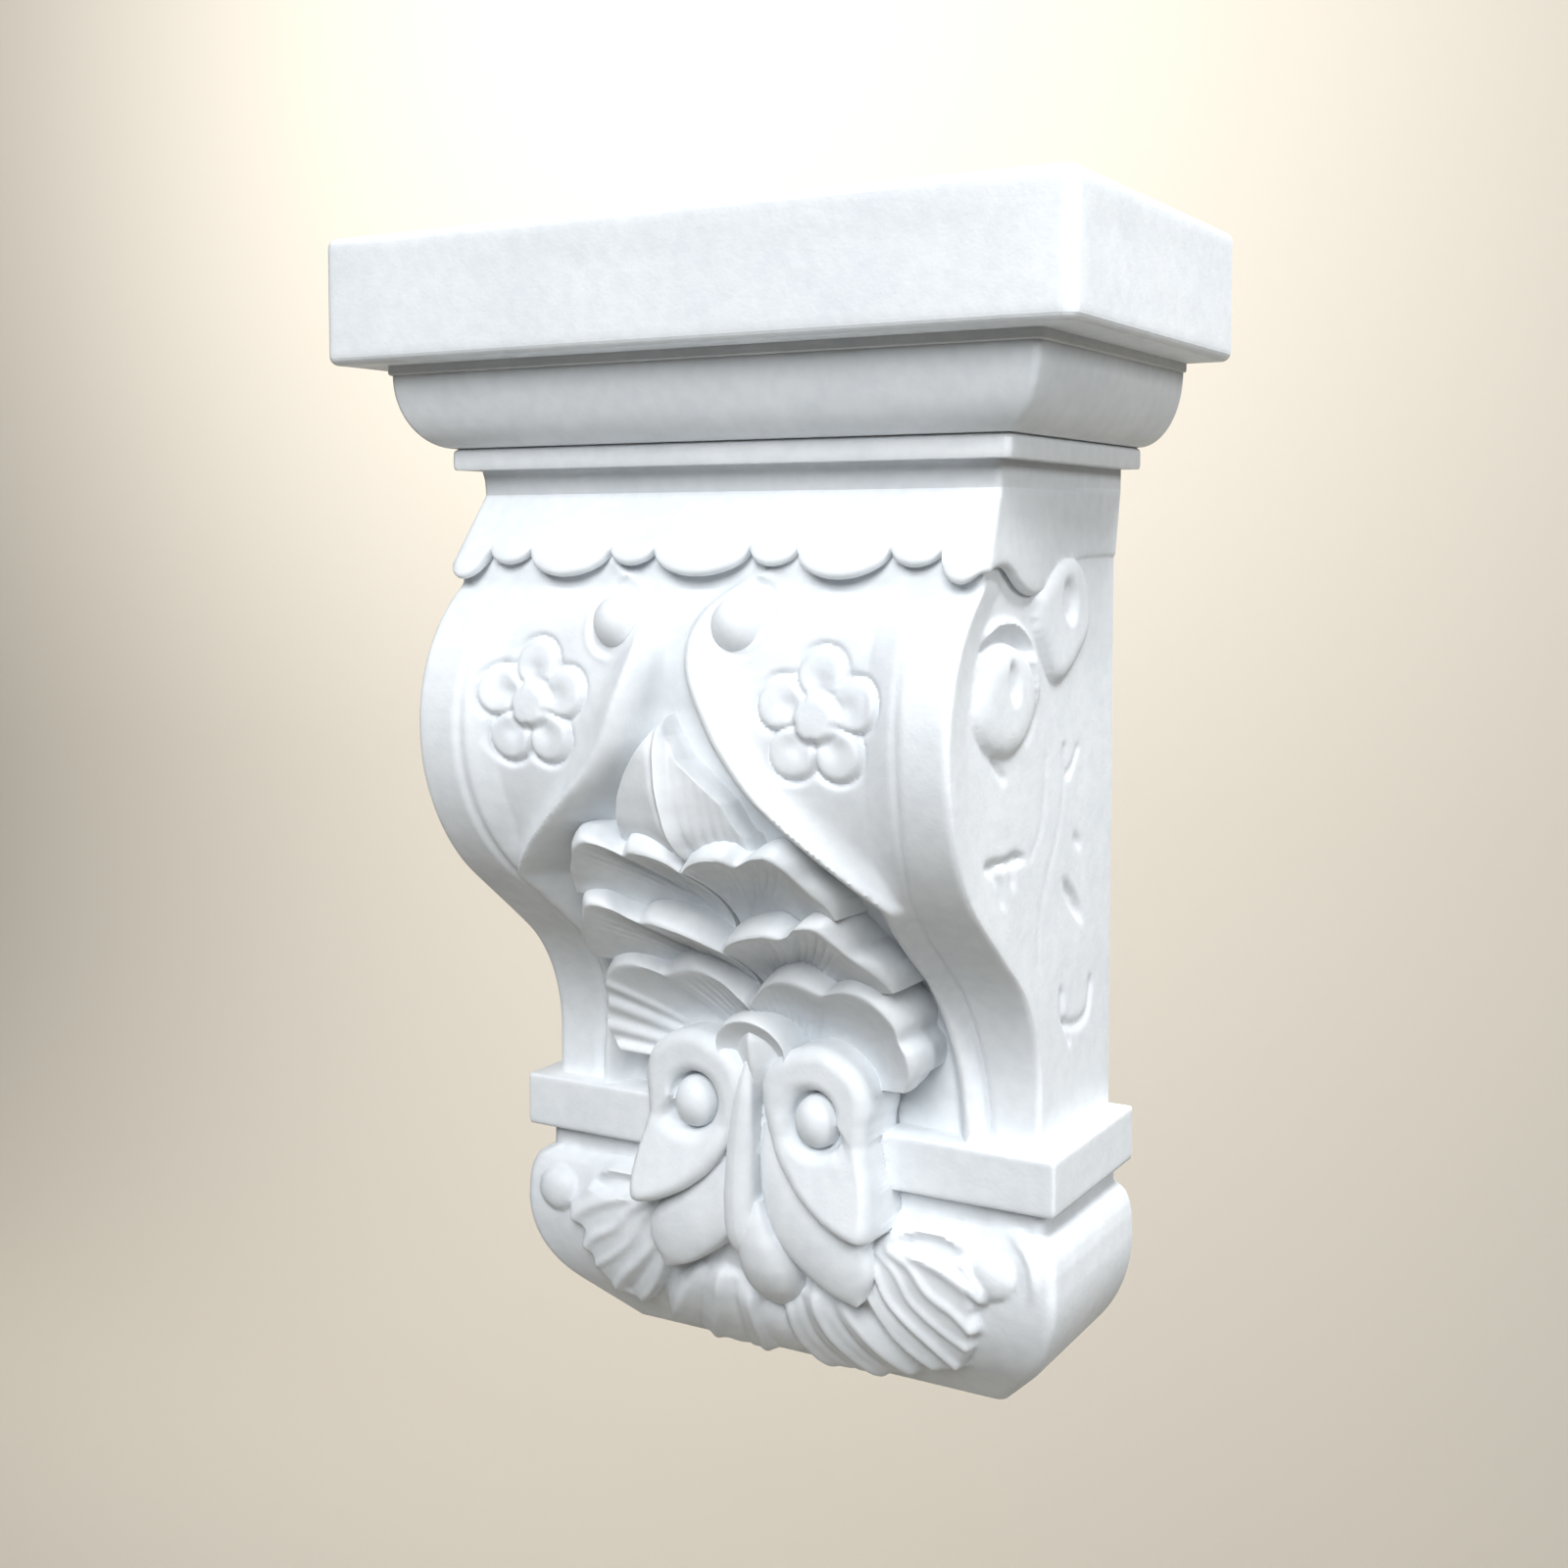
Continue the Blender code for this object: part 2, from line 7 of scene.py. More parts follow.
# %% Open the frame
from math import atan, atan2, cos, hypot, pi, radians, sin, tan
import bpy
import numpy as np
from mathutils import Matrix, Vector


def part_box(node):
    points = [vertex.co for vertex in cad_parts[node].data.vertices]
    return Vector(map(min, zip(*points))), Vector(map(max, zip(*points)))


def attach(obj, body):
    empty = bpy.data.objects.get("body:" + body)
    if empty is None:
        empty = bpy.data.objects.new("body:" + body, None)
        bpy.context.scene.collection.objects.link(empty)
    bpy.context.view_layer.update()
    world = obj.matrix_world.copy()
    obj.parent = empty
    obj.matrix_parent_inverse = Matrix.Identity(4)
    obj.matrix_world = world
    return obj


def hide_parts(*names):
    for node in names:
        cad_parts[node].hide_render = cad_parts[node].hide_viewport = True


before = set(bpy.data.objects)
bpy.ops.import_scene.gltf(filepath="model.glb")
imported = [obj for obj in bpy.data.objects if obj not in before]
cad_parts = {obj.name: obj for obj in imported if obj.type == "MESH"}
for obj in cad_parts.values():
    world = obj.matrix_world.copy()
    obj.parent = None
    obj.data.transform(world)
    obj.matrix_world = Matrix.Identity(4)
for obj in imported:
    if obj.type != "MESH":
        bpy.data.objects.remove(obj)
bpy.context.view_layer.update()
low, high = (np.array(corner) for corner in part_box("corbel"))
print("the solid spans", np.round((high - low) * 1000, 1), "mm")

# %% [markdown]
# Every operator acts on all that is selected, and loading leaves the solid selected. So everything is
# deselected first, and two helpers select in code: one a whole piece, the other the edges that lie in a wanted
# place.

# %% Select in code
bpy.ops.object.select_all(action="DESELECT")


def mode(name):
    bpy.ops.object.mode_set(mode=name)


def only(piece):
    bpy.ops.object.select_all(action="DESELECT")
    piece.select_set(True)
    bpy.context.view_layer.objects.active = piece


def pick_edges(piece, wanted):
    """Opens edit mode with the edges selected whose middle and direction pass the test."""
    mode("EDIT")
    bpy.ops.mesh.select_mode(type="EDGE")
    bpy.ops.mesh.select_all(action="DESELECT")
    mode("OBJECT")
    spots = piece.data.vertices
    for edge in piece.data.edges:
        a, b = (spots[i].co for i in edge.vertices)
        edge.select = bool(wanted((a + b) / 2, (b - a).normalized()))
    mode("EDIT")


def tell(piece):
    print(piece.name, "has", len(piece.data.polygons), "faces")


print("selected now:", len(bpy.context.selected_objects))

# %% [markdown]
# ## Camera
# The corbel is seen from the right of its front and from a little above its middle, as when it hangs just below
# eye level. The camera looks down by only a few degrees, so the uprights stay almost parallel, and a small lens
# shift frames it.

# %% Place the camera
bpy.ops.object.camera_add(
    location=(0.30415, -0.58308, 0.0859), rotation=(radians(86.63), 0, radians(30.04)),
)
camera = bpy.context.object
camera.data.lens, camera.data.sensor_width, camera.data.shift_y = 44.26, 36, -0.08
bpy.context.scene.camera = camera
print("camera lens", round(camera.data.lens, 1), "mm")

# %% [markdown]
# ## Studio
# A white casting shows its carving only where light falls off, so the room itself is kept almost dark. A wide
# soft key stands in front and above. A smaller lamp hangs high over the right end and draws the shadows under
# the mouldings, a third lights the right side, and a weak one fills from the left. A wide lamp behind the
# casting washes the backdrop: the floor runs up into it in one pale sweep, far enough away to throw little
# light back. The room's walls look pale where they show beyond the sweep, but they give almost no light.

# %% Lay the floor and its sweep
def dial(node, **values):
    """Sets a node's own sockets by name, with _ for a space."""
    for name, value in values.items():
        node.inputs[name.replace("_", " ")].default_value = value


bpy.ops.mesh.primitive_plane_add(size=1, location=(-2.0, 0.6, -2.3))
floor = bpy.context.object
floor.name = "floor_sweep"
floor.scale = (14, 9, 1)
bpy.ops.object.transform_apply()
pick_edges(floor, lambda middle, way: middle.y > 1)
bpy.ops.mesh.extrude_region_move(TRANSFORM_OT_translate={"value": (0, 0, 6.6)})
mode("OBJECT")
bend = floor.modifiers.new("sweep", "BEVEL")
bend.width, bend.segments, bend.limit_method, bend.angle_limit = 1.6, 24, "ANGLE", radians(60)
bpy.ops.object.modifier_apply(modifier=bend.name)
bpy.ops.object.shade_smooth()
paper = bpy.data.materials.new("cream paper")
paper.use_nodes = True
dial(paper.node_tree.nodes["Principled BSDF"], Base_Color=(0.84, 0.80, 0.725, 1), Roughness=0.9)
floor.data.materials.append(paper)
tell(floor)

# %% Hang the lamps
def lamp(name, place, power, size, aim=(0, -0.05, 0), colour=(1, 1, 1)):
    bpy.ops.object.light_add(type="AREA", location=place)
    made = bpy.context.object
    made.name = name
    made.data.energy, made.data.size, made.data.color = power, size, colour
    way = np.array(aim) - np.array(place)
    made.rotation_euler = (atan2(hypot(way[0], way[1]), -way[2]), 0, atan2(-way[0], way[1]))


cool = (0.96, 0.98, 1.0)
lamp("key", (0.50, -1.64, 1.18), 46, 1.2, colour=cool)
lamp("high", (0.94, 0.03, 1.77), 34, 0.5, colour=cool)
lamp("right", (1.78, -0.36, 0.85), 15, 0.6, colour=cool)
lamp("left", (-1.0, -1.05, 1.41), 6, 0.5, colour=cool)
lamp("wash", (-3.6, 0.5, 2.2), 340, 3.0, (-3.2, 5.1, 3.0), (1, 0.97, 0.92))
bpy.context.scene.world = bpy.data.worlds.new("soft room")
bpy.context.scene.world.use_nodes = True
walls = bpy.context.scene.world.node_tree
room = walls.nodes["Background"]
dial(room, Color=(0.95, 0.92, 0.87, 1))
seen, brightness = walls.nodes.new("ShaderNodeLightPath"), walls.nodes.new("ShaderNodeMapRange")
dial(brightness, To_Min=0.02, To_Max=0.6)
walls.links.new(seen.outputs["Is Camera Ray"], brightness.inputs["Value"])
walls.links.new(brightness.outputs["Result"], room.inputs["Strength"])
bpy.context.scene.view_settings.view_transform = "Standard"

# %% [markdown]
# ## Measuring and shaping helpers
# The corbel hangs from its top, so places are easiest to say as: how far across from the middle, how far out
# from the wall, and how far down from the top, all in millimetres.

# %% Places in millimetres
MM = 0.001
TOP = high[2] / MM


def place(across, depth, drop):
    """Points in millimetres on the scene's own axes."""
    across, depth, drop = np.broadcast_arrays(across, depth, drop)
    return np.stack([across, -depth, TOP - drop], axis=-1).astype(float)


def ease(value):
    """0 below 0, 1 above 1 and a smooth S between."""
    value = np.clip(value, 0, 1)
    return value * value * (3 - 2 * value)


def read(value, knots):
    """Straight reading between (position, value) pairs."""
    return np.interp(value, *np.array(knots, float).T)


def smooth(want, marks, values):
    """Smooth reading of values that are given at rising marks."""
    slope = np.gradient(values, marks, axis=0)
    i = np.clip(np.searchsorted(marks, want, side="right") - 1, 0, len(marks) - 2)
    gap = marks[i + 1] - marks[i]
    s = (want - marks[i]) / gap
    if values.ndim > 1:
        gap, s = gap[:, None], s[:, None]
    return (
        (2 * s**3 - 3 * s**2 + 1) * values[i] + (s**3 - 2 * s**2 + s) * gap * slope[i]
        + (3 * s**2 - 2 * s**3) * values[i + 1] + (s**3 - s**2) * gap * slope[i + 1]
    )


def curve_through(points, count):
    """Evenly spread points on a smooth curve through the given ones."""
    points = np.array(points, float)
    along = np.r_[0, np.cumsum(np.linalg.norm(np.diff(points, axis=0), axis=1))]
    return smooth(np.linspace(0, along[-1], count), along, points)


def smooth_read(value, knots):
    """Smooth reading between (position, value) pairs."""
    marks, values = np.array(knots, float).T
    return smooth(np.clip(value, marks[0], marks[-1]), marks, values)


print("top of the slab is", round(TOP, 2), "mm above the middle")

# %% [markdown]
# Carved forms have no straight edges to bevel, so they are shaped another way: a grid is added, its rows are
# laid round the form as closed loops, the seam is merged and the two ends are filled. The result is a closed
# skin.

# %% Wrap a grid round closed loops
def wrap(name, loops):
    """A closed skin over rows of closed loops, given in millimetres."""
    loops = np.asarray(loops)
    rows, around = loops.shape[:2]
    bpy.ops.mesh.primitive_grid_add(x_subdivisions=around, y_subdivisions=rows - 1, size=1)
    made = bpy.context.object
    made.name = name
    skin = np.concatenate([loops, loops[:, :1]], axis=1) * MM
    made.data.vertices.foreach_set("co", skin.ravel())
    mode("EDIT")
    bpy.ops.mesh.select_all(action="SELECT")
    bpy.ops.mesh.remove_doubles(threshold=1e-6)
    bpy.ops.mesh.fill_holes(sides=0)
    bpy.ops.mesh.normals_make_consistent(inside=False)
    mode("OBJECT")
    return made


def twin(source):
    """A copy on the other side of the middle, with a mesh of its own."""
    made = source.copy()
    made.data = source.data.copy()
    made.name = source.name + "_left"
    bpy.context.scene.collection.objects.link(made)
    only(made)
    mode("EDIT")
    bpy.ops.mesh.select_all(action="SELECT")
    bpy.ops.transform.resize(value=(-1, 1, 1), center_override=(0, 0, 0))
    bpy.ops.mesh.flip_normals()
    mode("OBJECT")
    return made


print("ready:", wrap.__name__, twin.__name__)

# %% [markdown]
# Shapes made apart are joined, relaxed and trimmed with modifiers, which are applied at once: a Boolean union,
# a light smoothing that rounds the creases as paint does, and a Boolean cut at the wall and at the foot.

# %% Join, soften and trim with modifiers
def apply_step(target, step):
    only(target)
    bpy.ops.object.modifier_apply(modifier=step.name)


def fuse(target, parts):
    """Joins closed shapes into one skin."""
    group = bpy.data.collections.new("to join")
    bpy.context.scene.collection.children.link(group)
    for part in parts:
        for home in list(part.users_collection):
            home.objects.unlink(part)
        group.objects.link(part)
    step = target.modifiers.new("join", "BOOLEAN")
    step.operation, step.solver, step.operand_type, step.collection = "UNION", "MANIFOLD", "COLLECTION", group
    apply_step(target, step)
    for part in parts:
        bpy.data.objects.remove(part)
    bpy.data.collections.remove(group)
    print(target.name, "now has", sum(len(face.vertices) - 2 for face in target.data.polygons), "triangles")
    return target


def soften(target, rounds=2):
    """Relaxes the skin, which rounds its creases."""
    step = target.modifiers.new("soften", "SMOOTH")
    step.iterations, step.factor = rounds, 0.5
    apply_step(target, step)


def trim(target, shy=0.0):
    """Cuts the back flat, shy of the wall by so much, and the foot flat at the lowest point."""
    thick = 0.1
    behind, below = (0, thick / 2 - shy, 0), (0, 0, low[2] - thick / 2)
    for middle, size in ((behind, (1, thick, 1)), (below, (1, 1, thick))):
        bpy.ops.mesh.primitive_cube_add(size=1, location=middle)
        saw = bpy.context.object
        saw.scale = size
        bpy.ops.object.transform_apply()
        step = target.modifiers.new("trim", "BOOLEAN")
        step.operation, step.solver, step.object = "DIFFERENCE", "MANIFOLD", saw
        apply_step(target, step)
        bpy.data.objects.remove(saw)


print("ready:", fuse.__name__, soften.__name__, trim.__name__)

# %% A ball, and a full lobe between two edge curves
def ball(name, middle, sizes):
    """A ball with three half sizes: across, out and up."""
    bpy.ops.mesh.primitive_uv_sphere_add(segments=40, ring_count=24, radius=1)
    made = bpy.context.object
    made.name = name
    made.scale = np.array(sizes) * MM
    made.location = place(*middle) * MM
    bpy.ops.object.transform_apply()
    return made


def petal(name, inner, outer, crown, count=70, back=16.0, roof=0.0):
    """A lobe rounded from edge to edge, or folded like a roof, between curves of (across, depth, drop)."""
    a, b = curve_through(inner, count), curve_through(outer, count)
    side = np.linspace(-1, 1, 28)
    lift = (1 - roof) * np.sqrt(np.clip(1 - np.abs(side) ** 2.6, 0, 1)) + roof * (1 - np.abs(side))
    wide = np.linalg.norm(b - a, axis=1)
    share = ((side + 1) / 2)[:, None]
    rows = a[:, None] * (1 - share) + b[:, None] * share
    rows[..., 1] += crown * ((wide / wide.max()) ** 0.7)[:, None] * lift
    skirt = np.array((0, back, 0))
    rows = np.concatenate([rows[:, :1] - skirt, rows, rows[:, -1:] - skirt], axis=1)
    return wrap(name, place(*np.moveaxis(rows, -1, 0)))


print("ready:", ball.__name__, petal.__name__)

# %% [markdown]
# Low carving is made as a height above the surface it is cut in, as a carver sees it. It needs to know how far
# a point is from a drawn line, how deep it lies inside an outline, and how far it is from the middle of an
# oval.

# %% Distances for low carving
def from_line(x, y, points):
    """Distance from a smooth line."""
    line = curve_through(points, 60)
    return np.hypot(x[..., None] - line[:, 0], y[..., None] - line[:, 1]).min(axis=-1)


def ridge(distance, width):
    """A soft ridge, 1 along its top."""
    return np.exp(-((distance / width) ** 2))


def stroke(x, y, points, width, height):
    """A soft ridge, or a groove where the height is below 0, along a line."""
    return height * ridge(from_line(x, y, points), width)


def inside(x, y, outline):
    """Distance in from a closed outline, below 0 outside it."""
    edge = curve_through([*outline, outline[0]], 90)
    a, b = edge[:-1], edge[1:]
    gap = np.hypot(x[..., None] - a[:, 0], y[..., None] - a[:, 1]).min(axis=-1)
    over = (a[:, 1] > y[..., None]) != (b[:, 1] > y[..., None])
    cross = (b[:, 0] - a[:, 0]) * (y[..., None] - a[:, 1]) / (b[:, 1] - a[:, 1] + 1e-9) + a[:, 0]
    return np.where((over & (x[..., None] < cross)).sum(axis=-1) % 2 == 1, gap, -gap)


def oval(x, y, middle, sizes, lean=0.0):
    """Distance from the middle of an oval as a share of its size, turned by lean degrees."""
    c, s = cos(radians(lean)), sin(radians(lean))
    u, v = x - middle[0], y - middle[1]
    return np.hypot((u * c + v * s) / sizes[0], (v * c - u * s) / sizes[1])


def dome(share):
    """A round back: 1 in the middle of an oval, 0 at its edge."""
    return np.sqrt(np.clip(1 - share**2, 0, 1))


print("ready:", ridge.__name__, inside.__name__, oval.__name__, dome.__name__)

# %% [markdown]
# ## Cap: the slab
# The slab carries the shelf or beam. On a casting its edges are soft from the mould and its broad faces are
# very slightly uneven. A box with bevelled edges gives the shape. Its faces are then subdivided, and each point
# sinks a fraction of a millimetre by smooth noise, which a bevelled box alone would lack.

# %% Make the slab
SLAB_DEPTH, SLAB_DROP = -low[1] / MM, 39.3
CORNER_ROUND, EDGE_ROUND = 0.0045, 0.003
bpy.ops.mesh.primitive_cube_add(size=1, location=(0, low[1] / 2, (TOP - SLAB_DROP / 2) * MM))
cap = bpy.context.object
cap.name = "cap"
cap.scale = (high[0] - low[0], SLAB_DEPTH * MM, SLAB_DROP * MM)
bpy.ops.object.transform_apply()
pick_edges(cap, lambda middle, way: abs(way.z) > 0.9 and middle.y < -0.1)
bpy.ops.mesh.bevel(offset=CORNER_ROUND, segments=6)
pick_edges(cap, lambda middle, way: abs(way.z) < 0.1 and middle.y < -0.001)
bpy.ops.mesh.bevel(offset=EDGE_ROUND, segments=5)
mode("OBJECT")
tell(cap)

# %% Make its faces a little uneven
from mathutils import Vector, noise

UNEVEN, EVEN_RIM, FADE = 0.0006, 0.004, 0.012
mode("EDIT")
bpy.ops.mesh.select_all(action="SELECT")
bpy.ops.mesh.subdivide(number_cuts=14)
mode("OBJECT")
count = len(cap.data.vertices)
spots, normals = np.empty(count * 3), np.empty(count * 3)
cap.data.vertices.foreach_get("co", spots)
cap.data.vertex_normals.foreach_get("vector", normals)
spots, normals = spots.reshape(-1, 3), normals.reshape(-1, 3)
inner = np.sort(np.minimum(spots - low, high - spots), axis=1)[:, 1]
inner[spots[:, 1] > -0.0005] = 0
sink = np.array([0.5 + 0.5 * noise.noise(Vector(p) * 22) + 0.2 * noise.noise(Vector(p) * 60) for p in spots])
spots -= normals * (UNEVEN * np.clip(sink, 0, 1) * ease((inner - EVEN_RIM) / FADE))[:, None]
cap.data.vertices.foreach_set("co", spots.ravel())
print("slab points:", len(cap.data.vertices))

# %% [markdown]
# ## Cap: the mouldings
# Under the slab come a thin fillet, an ovolo (a quarter round that swings in) and a square listel, all
# returning along both sides to the wall. As they are drawn on site with one profile, they are made that way
# here: a plate with eased corners is pushed down level by level and resized at each one.

# %% Extrude the mouldings level by level
FILLET, OVOLO_FOOT, LISTEL_FOOT = 42.0, 65.6, 71.6
OVOLO_HALF, OVOLO_DEPTH, SWING_IN, SWING_BACK = 96.0, 102.0, 14.0, 13.5

# half width, depth and drop of each level
levels = [
    (111.0, 116.5, SLAB_DROP - 3), (111.0, 116.5, FILLET - 0.5), (110.6, 116.1, FILLET), (110.0, 115.5, FILLET),
]
for turn in np.linspace(0, pi / 2, 20)[1:]:
    levels.append((
        OVOLO_HALF + SWING_IN * cos(turn), OVOLO_DEPTH + SWING_BACK * cos(turn),
        FILLET + (OVOLO_FOOT - 0.8 - FILLET) * sin(turn),
    ))
levels += [
    (95.2, 101.2, OVOLO_FOOT - 0.8), (96.2, 102.2, OVOLO_FOOT), (96.4, 102.4, OVOLO_FOOT + 1),
    (96.4, 102.4, LISTEL_FOOT - 1), (96.0, 102.0, LISTEL_FOOT), (90.0, 96.0, LISTEL_FOOT),
    (90.0, 94.6, LISTEL_FOOT + 3), (90.0, 94.0, 79.0), (89.0, 93.0, 86.0), (80.0, 84.0, 94.0),
]
print("levels in the mouldings:", len(levels))

# %% Push a plate down through the levels
half, depth, drop = levels[0]
bpy.ops.mesh.primitive_plane_add(size=1, location=(0, -depth / 2 * MM, (TOP - drop) * MM))
mouldings = bpy.context.object
mouldings.scale = (2 * half * MM, depth * MM, 1)
bpy.ops.object.transform_apply()
pick_edges(mouldings, lambda middle, way: middle.y < -0.1)
bpy.ops.mesh.bevel(offset=0.0025, segments=5, affect="VERTICES")
bpy.ops.mesh.select_all(action="SELECT")
for (half, depth, drop), (next_half, next_depth, next_drop) in zip(levels, levels[1:]):
    bpy.ops.mesh.extrude_region_move(TRANSFORM_OT_translate={"value": (0, 0, (drop - next_drop) * MM)})
    bpy.ops.transform.resize(
        value=(next_half / half, next_depth / depth, 1), center_override=(0, 0, (TOP - next_drop) * MM)
    )
bpy.ops.mesh.select_all(action="SELECT")
bpy.ops.mesh.normals_make_consistent(inside=False)
mode("OBJECT")
for spot in mouldings.data.vertices:
    if spot.co.y > -0.0005:
        spot.co.y = 0.01
cap = fuse(cap, [mouldings])
trim(cap)
tell(cap)

# %% [markdown]
# ## The S-shaped front
# Seen from the side, the front is one long S: a full belly, a straight run at a slope, and a hollow foot. It is
# drawn with arcs, and everything carved on the front is measured from it.

# %% Draw the S
BELLY_DROP, BELLY_DEPTH, BELLY_UP, BELLY_DOWN = 150.0, 127.4, 52.0, 64.0
SHOULDER, RUN, FOOT_RADIUS, FOOT_DEPTH = 108.0, radians(52), 50.0, 57.8


def front(drop):
    """How far out the front stands at each drop."""
    drop = np.asarray(drop, float)
    rise = BELLY_DROP - np.clip(drop, SHOULDER, BELLY_DROP)
    upper = BELLY_DEPTH - BELLY_UP + np.sqrt(BELLY_UP**2 - rise**2) - 0.3 * np.maximum(SHOULDER - drop, 0)
    run_start_drop = BELLY_DROP + BELLY_DOWN * sin(RUN)
    run_start = BELLY_DEPTH - BELLY_DOWN * (1 - cos(RUN))
    fall = np.clip(drop - BELLY_DROP, 0, BELLY_DOWN * 0.99)
    belly = BELLY_DEPTH - BELLY_DOWN + np.sqrt(BELLY_DOWN**2 - fall**2)
    run_end = FOOT_DEPTH + FOOT_RADIUS * (1 - cos(RUN))
    run_end_drop = run_start_drop + (run_start - run_end) / tan(RUN)
    run = run_start - (drop - run_start_drop) * tan(RUN)
    foot_drop = run_end_drop + FOOT_RADIUS * sin(RUN)
    left_to_go = np.clip(foot_drop - drop, 0, FOOT_RADIUS * 0.99)
    foot = FOOT_DEPTH + FOOT_RADIUS - np.sqrt(FOOT_RADIUS**2 - left_to_go**2)
    reached = [drop <= BELLY_DROP, drop <= run_start_drop, drop <= run_end_drop]
    return np.select(reached, [upper, belly, run], foot)


print("front depth at the belly and the foot:", front(150.0), round(float(front(270.0)), 1))

# %% [markdown]
# ## Relief on the front
# Inside a plain border at each side lies a comma-shaped panel with a rolled rim, and between the two panels a
# floor is sunk. On the real piece a carver cut these from the same surface, so they are one height above it,
# read from how far a point is across and down: rim, hollow and floor blend as they do under a gouge.

# %% Lines of the panels, as (drop, millimetres)
CHANNEL = (
    (96, 34), (103, 25), (106, 18.5), (109, 14.5), (113, 11), (118, 9.3), (124, 9.2), (129, 10.2), (135, 12.2),
    (143, 15.8), (152, 20), (165, 30), (176, 42), (187, 54), (197, 64), (206, 72), (215, 78), (285, 80),
)
BORDER = ((90, 72), (185, 72), (212, 67), (240, 68), (262, 70.7), (285, 72))
FLOOR = (
    (96, 0.6), (106, 1.2), (112, 2), (120, 5), (130, 8.5), (142, 12), (215, 12), (235, 9), (262, 6), (285, 5),
)
THIN_EDGE = (
    (102, 0.2), (110, 0.9), (124, 0.9), (138, 0.4), (148, 0.25), (158, 0.3), (168, 0.8), (190, 1.2), (285, 1.4),
)
RIM = ((96, 0.4), (108, 1.2), (120, 1.2), (150, 1.0), (160, 1.4), (175, 3.0), (200, 3.4), (285, 3))
RIM_WIDTH = ((150, 4.5), (175, 2.6), (285, 2.2))
BORDER_GROOVE = ((112, 0), (150, 1.2), (190, 1.8), (285, 2.2))
print("points along the edge of a panel:", len(CHANNEL))

# %% Border, panels and sunk floor as one height
COVE, HOLLOW, CURL_MIDDLE = 11.0, 4.6, (20.5, 116.5)


def panel_relief(across, drop):
    edge, border = smooth_read(drop, CHANNEL), smooth_read(drop, BORDER)
    sunk, rim, bright = smooth_read(drop, FLOOR), read(drop, RIM), read(drop, THIN_EDGE)
    edge = np.minimum(edge, border - 5.0)
    within = across - edge
    deep = HOLLOW * ease((drop - 104) / 30) * ease((208 - drop) / 24)
    cove = np.clip((border - across) / COVE, 0, 1)
    panel = -deep * np.minimum(cove, 1 - ridge(np.maximum(within, 0), 7))
    panel = panel + rim * ridge(np.maximum(within, 0), read(drop, RIM_WIDTH)) * ease(cove * 2.2)
    panel = panel + bright * ridge(within - 0.9, 0.9)
    wall = rim + 0.7 * bright - (sunk + rim) * ease(-within / (0.85 * (sunk + rim)))
    height = np.where(within >= 0, panel, wall)
    groove = -read(drop, BORDER_GROOVE) * ridge(across - border, 1.2)
    ring = np.hypot(across - CURL_MIDDLE[0], drop - CURL_MIDDLE[1])
    curl = -0.8 * ridge(ring - 10.8, 0.9) + 0.5 * ridge(ring - 12.6, 1.1)
    return np.where(across < border, height, 0) + groove + curl * ease((across - 17) / 6) * (drop < 150)


print("a panel is hollowed by", round(-float(panel_relief(47.5, 150.0)), 1), "mm")

# %% [markdown]
# Each flower is pressed into the panel: a fine groove runs round all five petals, the petals have raised edges
# and cupped faces, and a low button sits in the middle.

# %% One flower as a height
FLOWER, PETALS, PETAL_REACH, CUP_REACH, PETAL_RADIUS = (47.5, 143.0), 5, 12.0, 9.5, 8.2


def flower_relief(across, drop):
    x, y = across - FLOWER[0], FLOWER[1] - drop
    turns = np.radians(90 + 360 // PETALS * np.arange(PETALS))

    def to_each(far):
        return np.stack([np.hypot(x - far * cos(t), y - far * sin(t)) for t in turns])

    nearest, second = np.sort(to_each(PETAL_REACH), axis=0)[:2]
    skirt, reach = nearest - PETAL_RADIUS, np.hypot(x, y)
    groove = -1.7 * ridge(skirt, 0.9)
    edge = 0.7 * ease(-skirt / 2.5)
    cup = -1.6 * ridge(to_each(CUP_REACH).min(axis=0), 3.2)
    seam = -0.9 * ridge(second - nearest, 1.4) * ease((reach - 6.5) / 2) * ease((18 - reach) / 4)
    button = 2.0 * ease((7.0 - reach) / 1.6) - 0.8 * ridge(reach - 7.8, 0.9)
    bloom = groove + edge + cup + seam
    return np.where(reach < 26, bloom * ease((reach - 4.5) / 2.5) + button, 0)


print("petals per flower:", PETALS, "overall radius", PETAL_REACH + PETAL_RADIUS, "mm")

# %% [markdown]
# ## Relief on the sides
# Each side carries a low scroll near the front with a hollow above its roll, a smaller scroll against the wall,
# and below them the sunk ends of a few husks. They are cut the same way: one height, read from how far a point
# is out from the wall and down.

# %% Outlines and marks on the sides, as (out, drop)
REAR_SCROLL = (
    (68, 110), (56, 103), (44, 99), (32, 101), (25, 111), (25, 121), (34, 129.5), (51, 135.5), (60, 127),
    (66, 118),
)
NOTCH_LEAF = ((102, 184.5), (95, 182.5), (85, 183), (76, 182.5), (68, 186), (77, 187.5), (88, 187), (97, 187.5))
MARK_WIDTH, MARK_DEPTH = 1.15, 0.7
MARKS = (
    (((55, 158), (56, 168), (59, 179), (66, 186)), 0.8, 0.5),
    (((42, 158), (41, 168), (46, 182), (55, 196), (60, 210), (59, 222)), 0.8, 0.5),
    (((40.5, 156), (39, 160), (37.5, 165)), 1.0, 1.3), (((30, 157), (33, 161), (37.5, 165)), 0.9, 1.0),
    (((31, 185), (28, 187)), 1.4, 1.2), (((92, 187), (88, 191), (86, 196)), 1.5, 1.5),
    (((80, 187), (79, 191.5)), 1.3, 1.2), (((93, 155), (89, 159), (86, 161)), 1.4, 1.2),
    (((41, 231), (40, 239), (30, 243), (20, 241), (17, 232)), 1.3, 1.4), (((38, 241), (34.5, 247)), 1.2, 1.1),
)
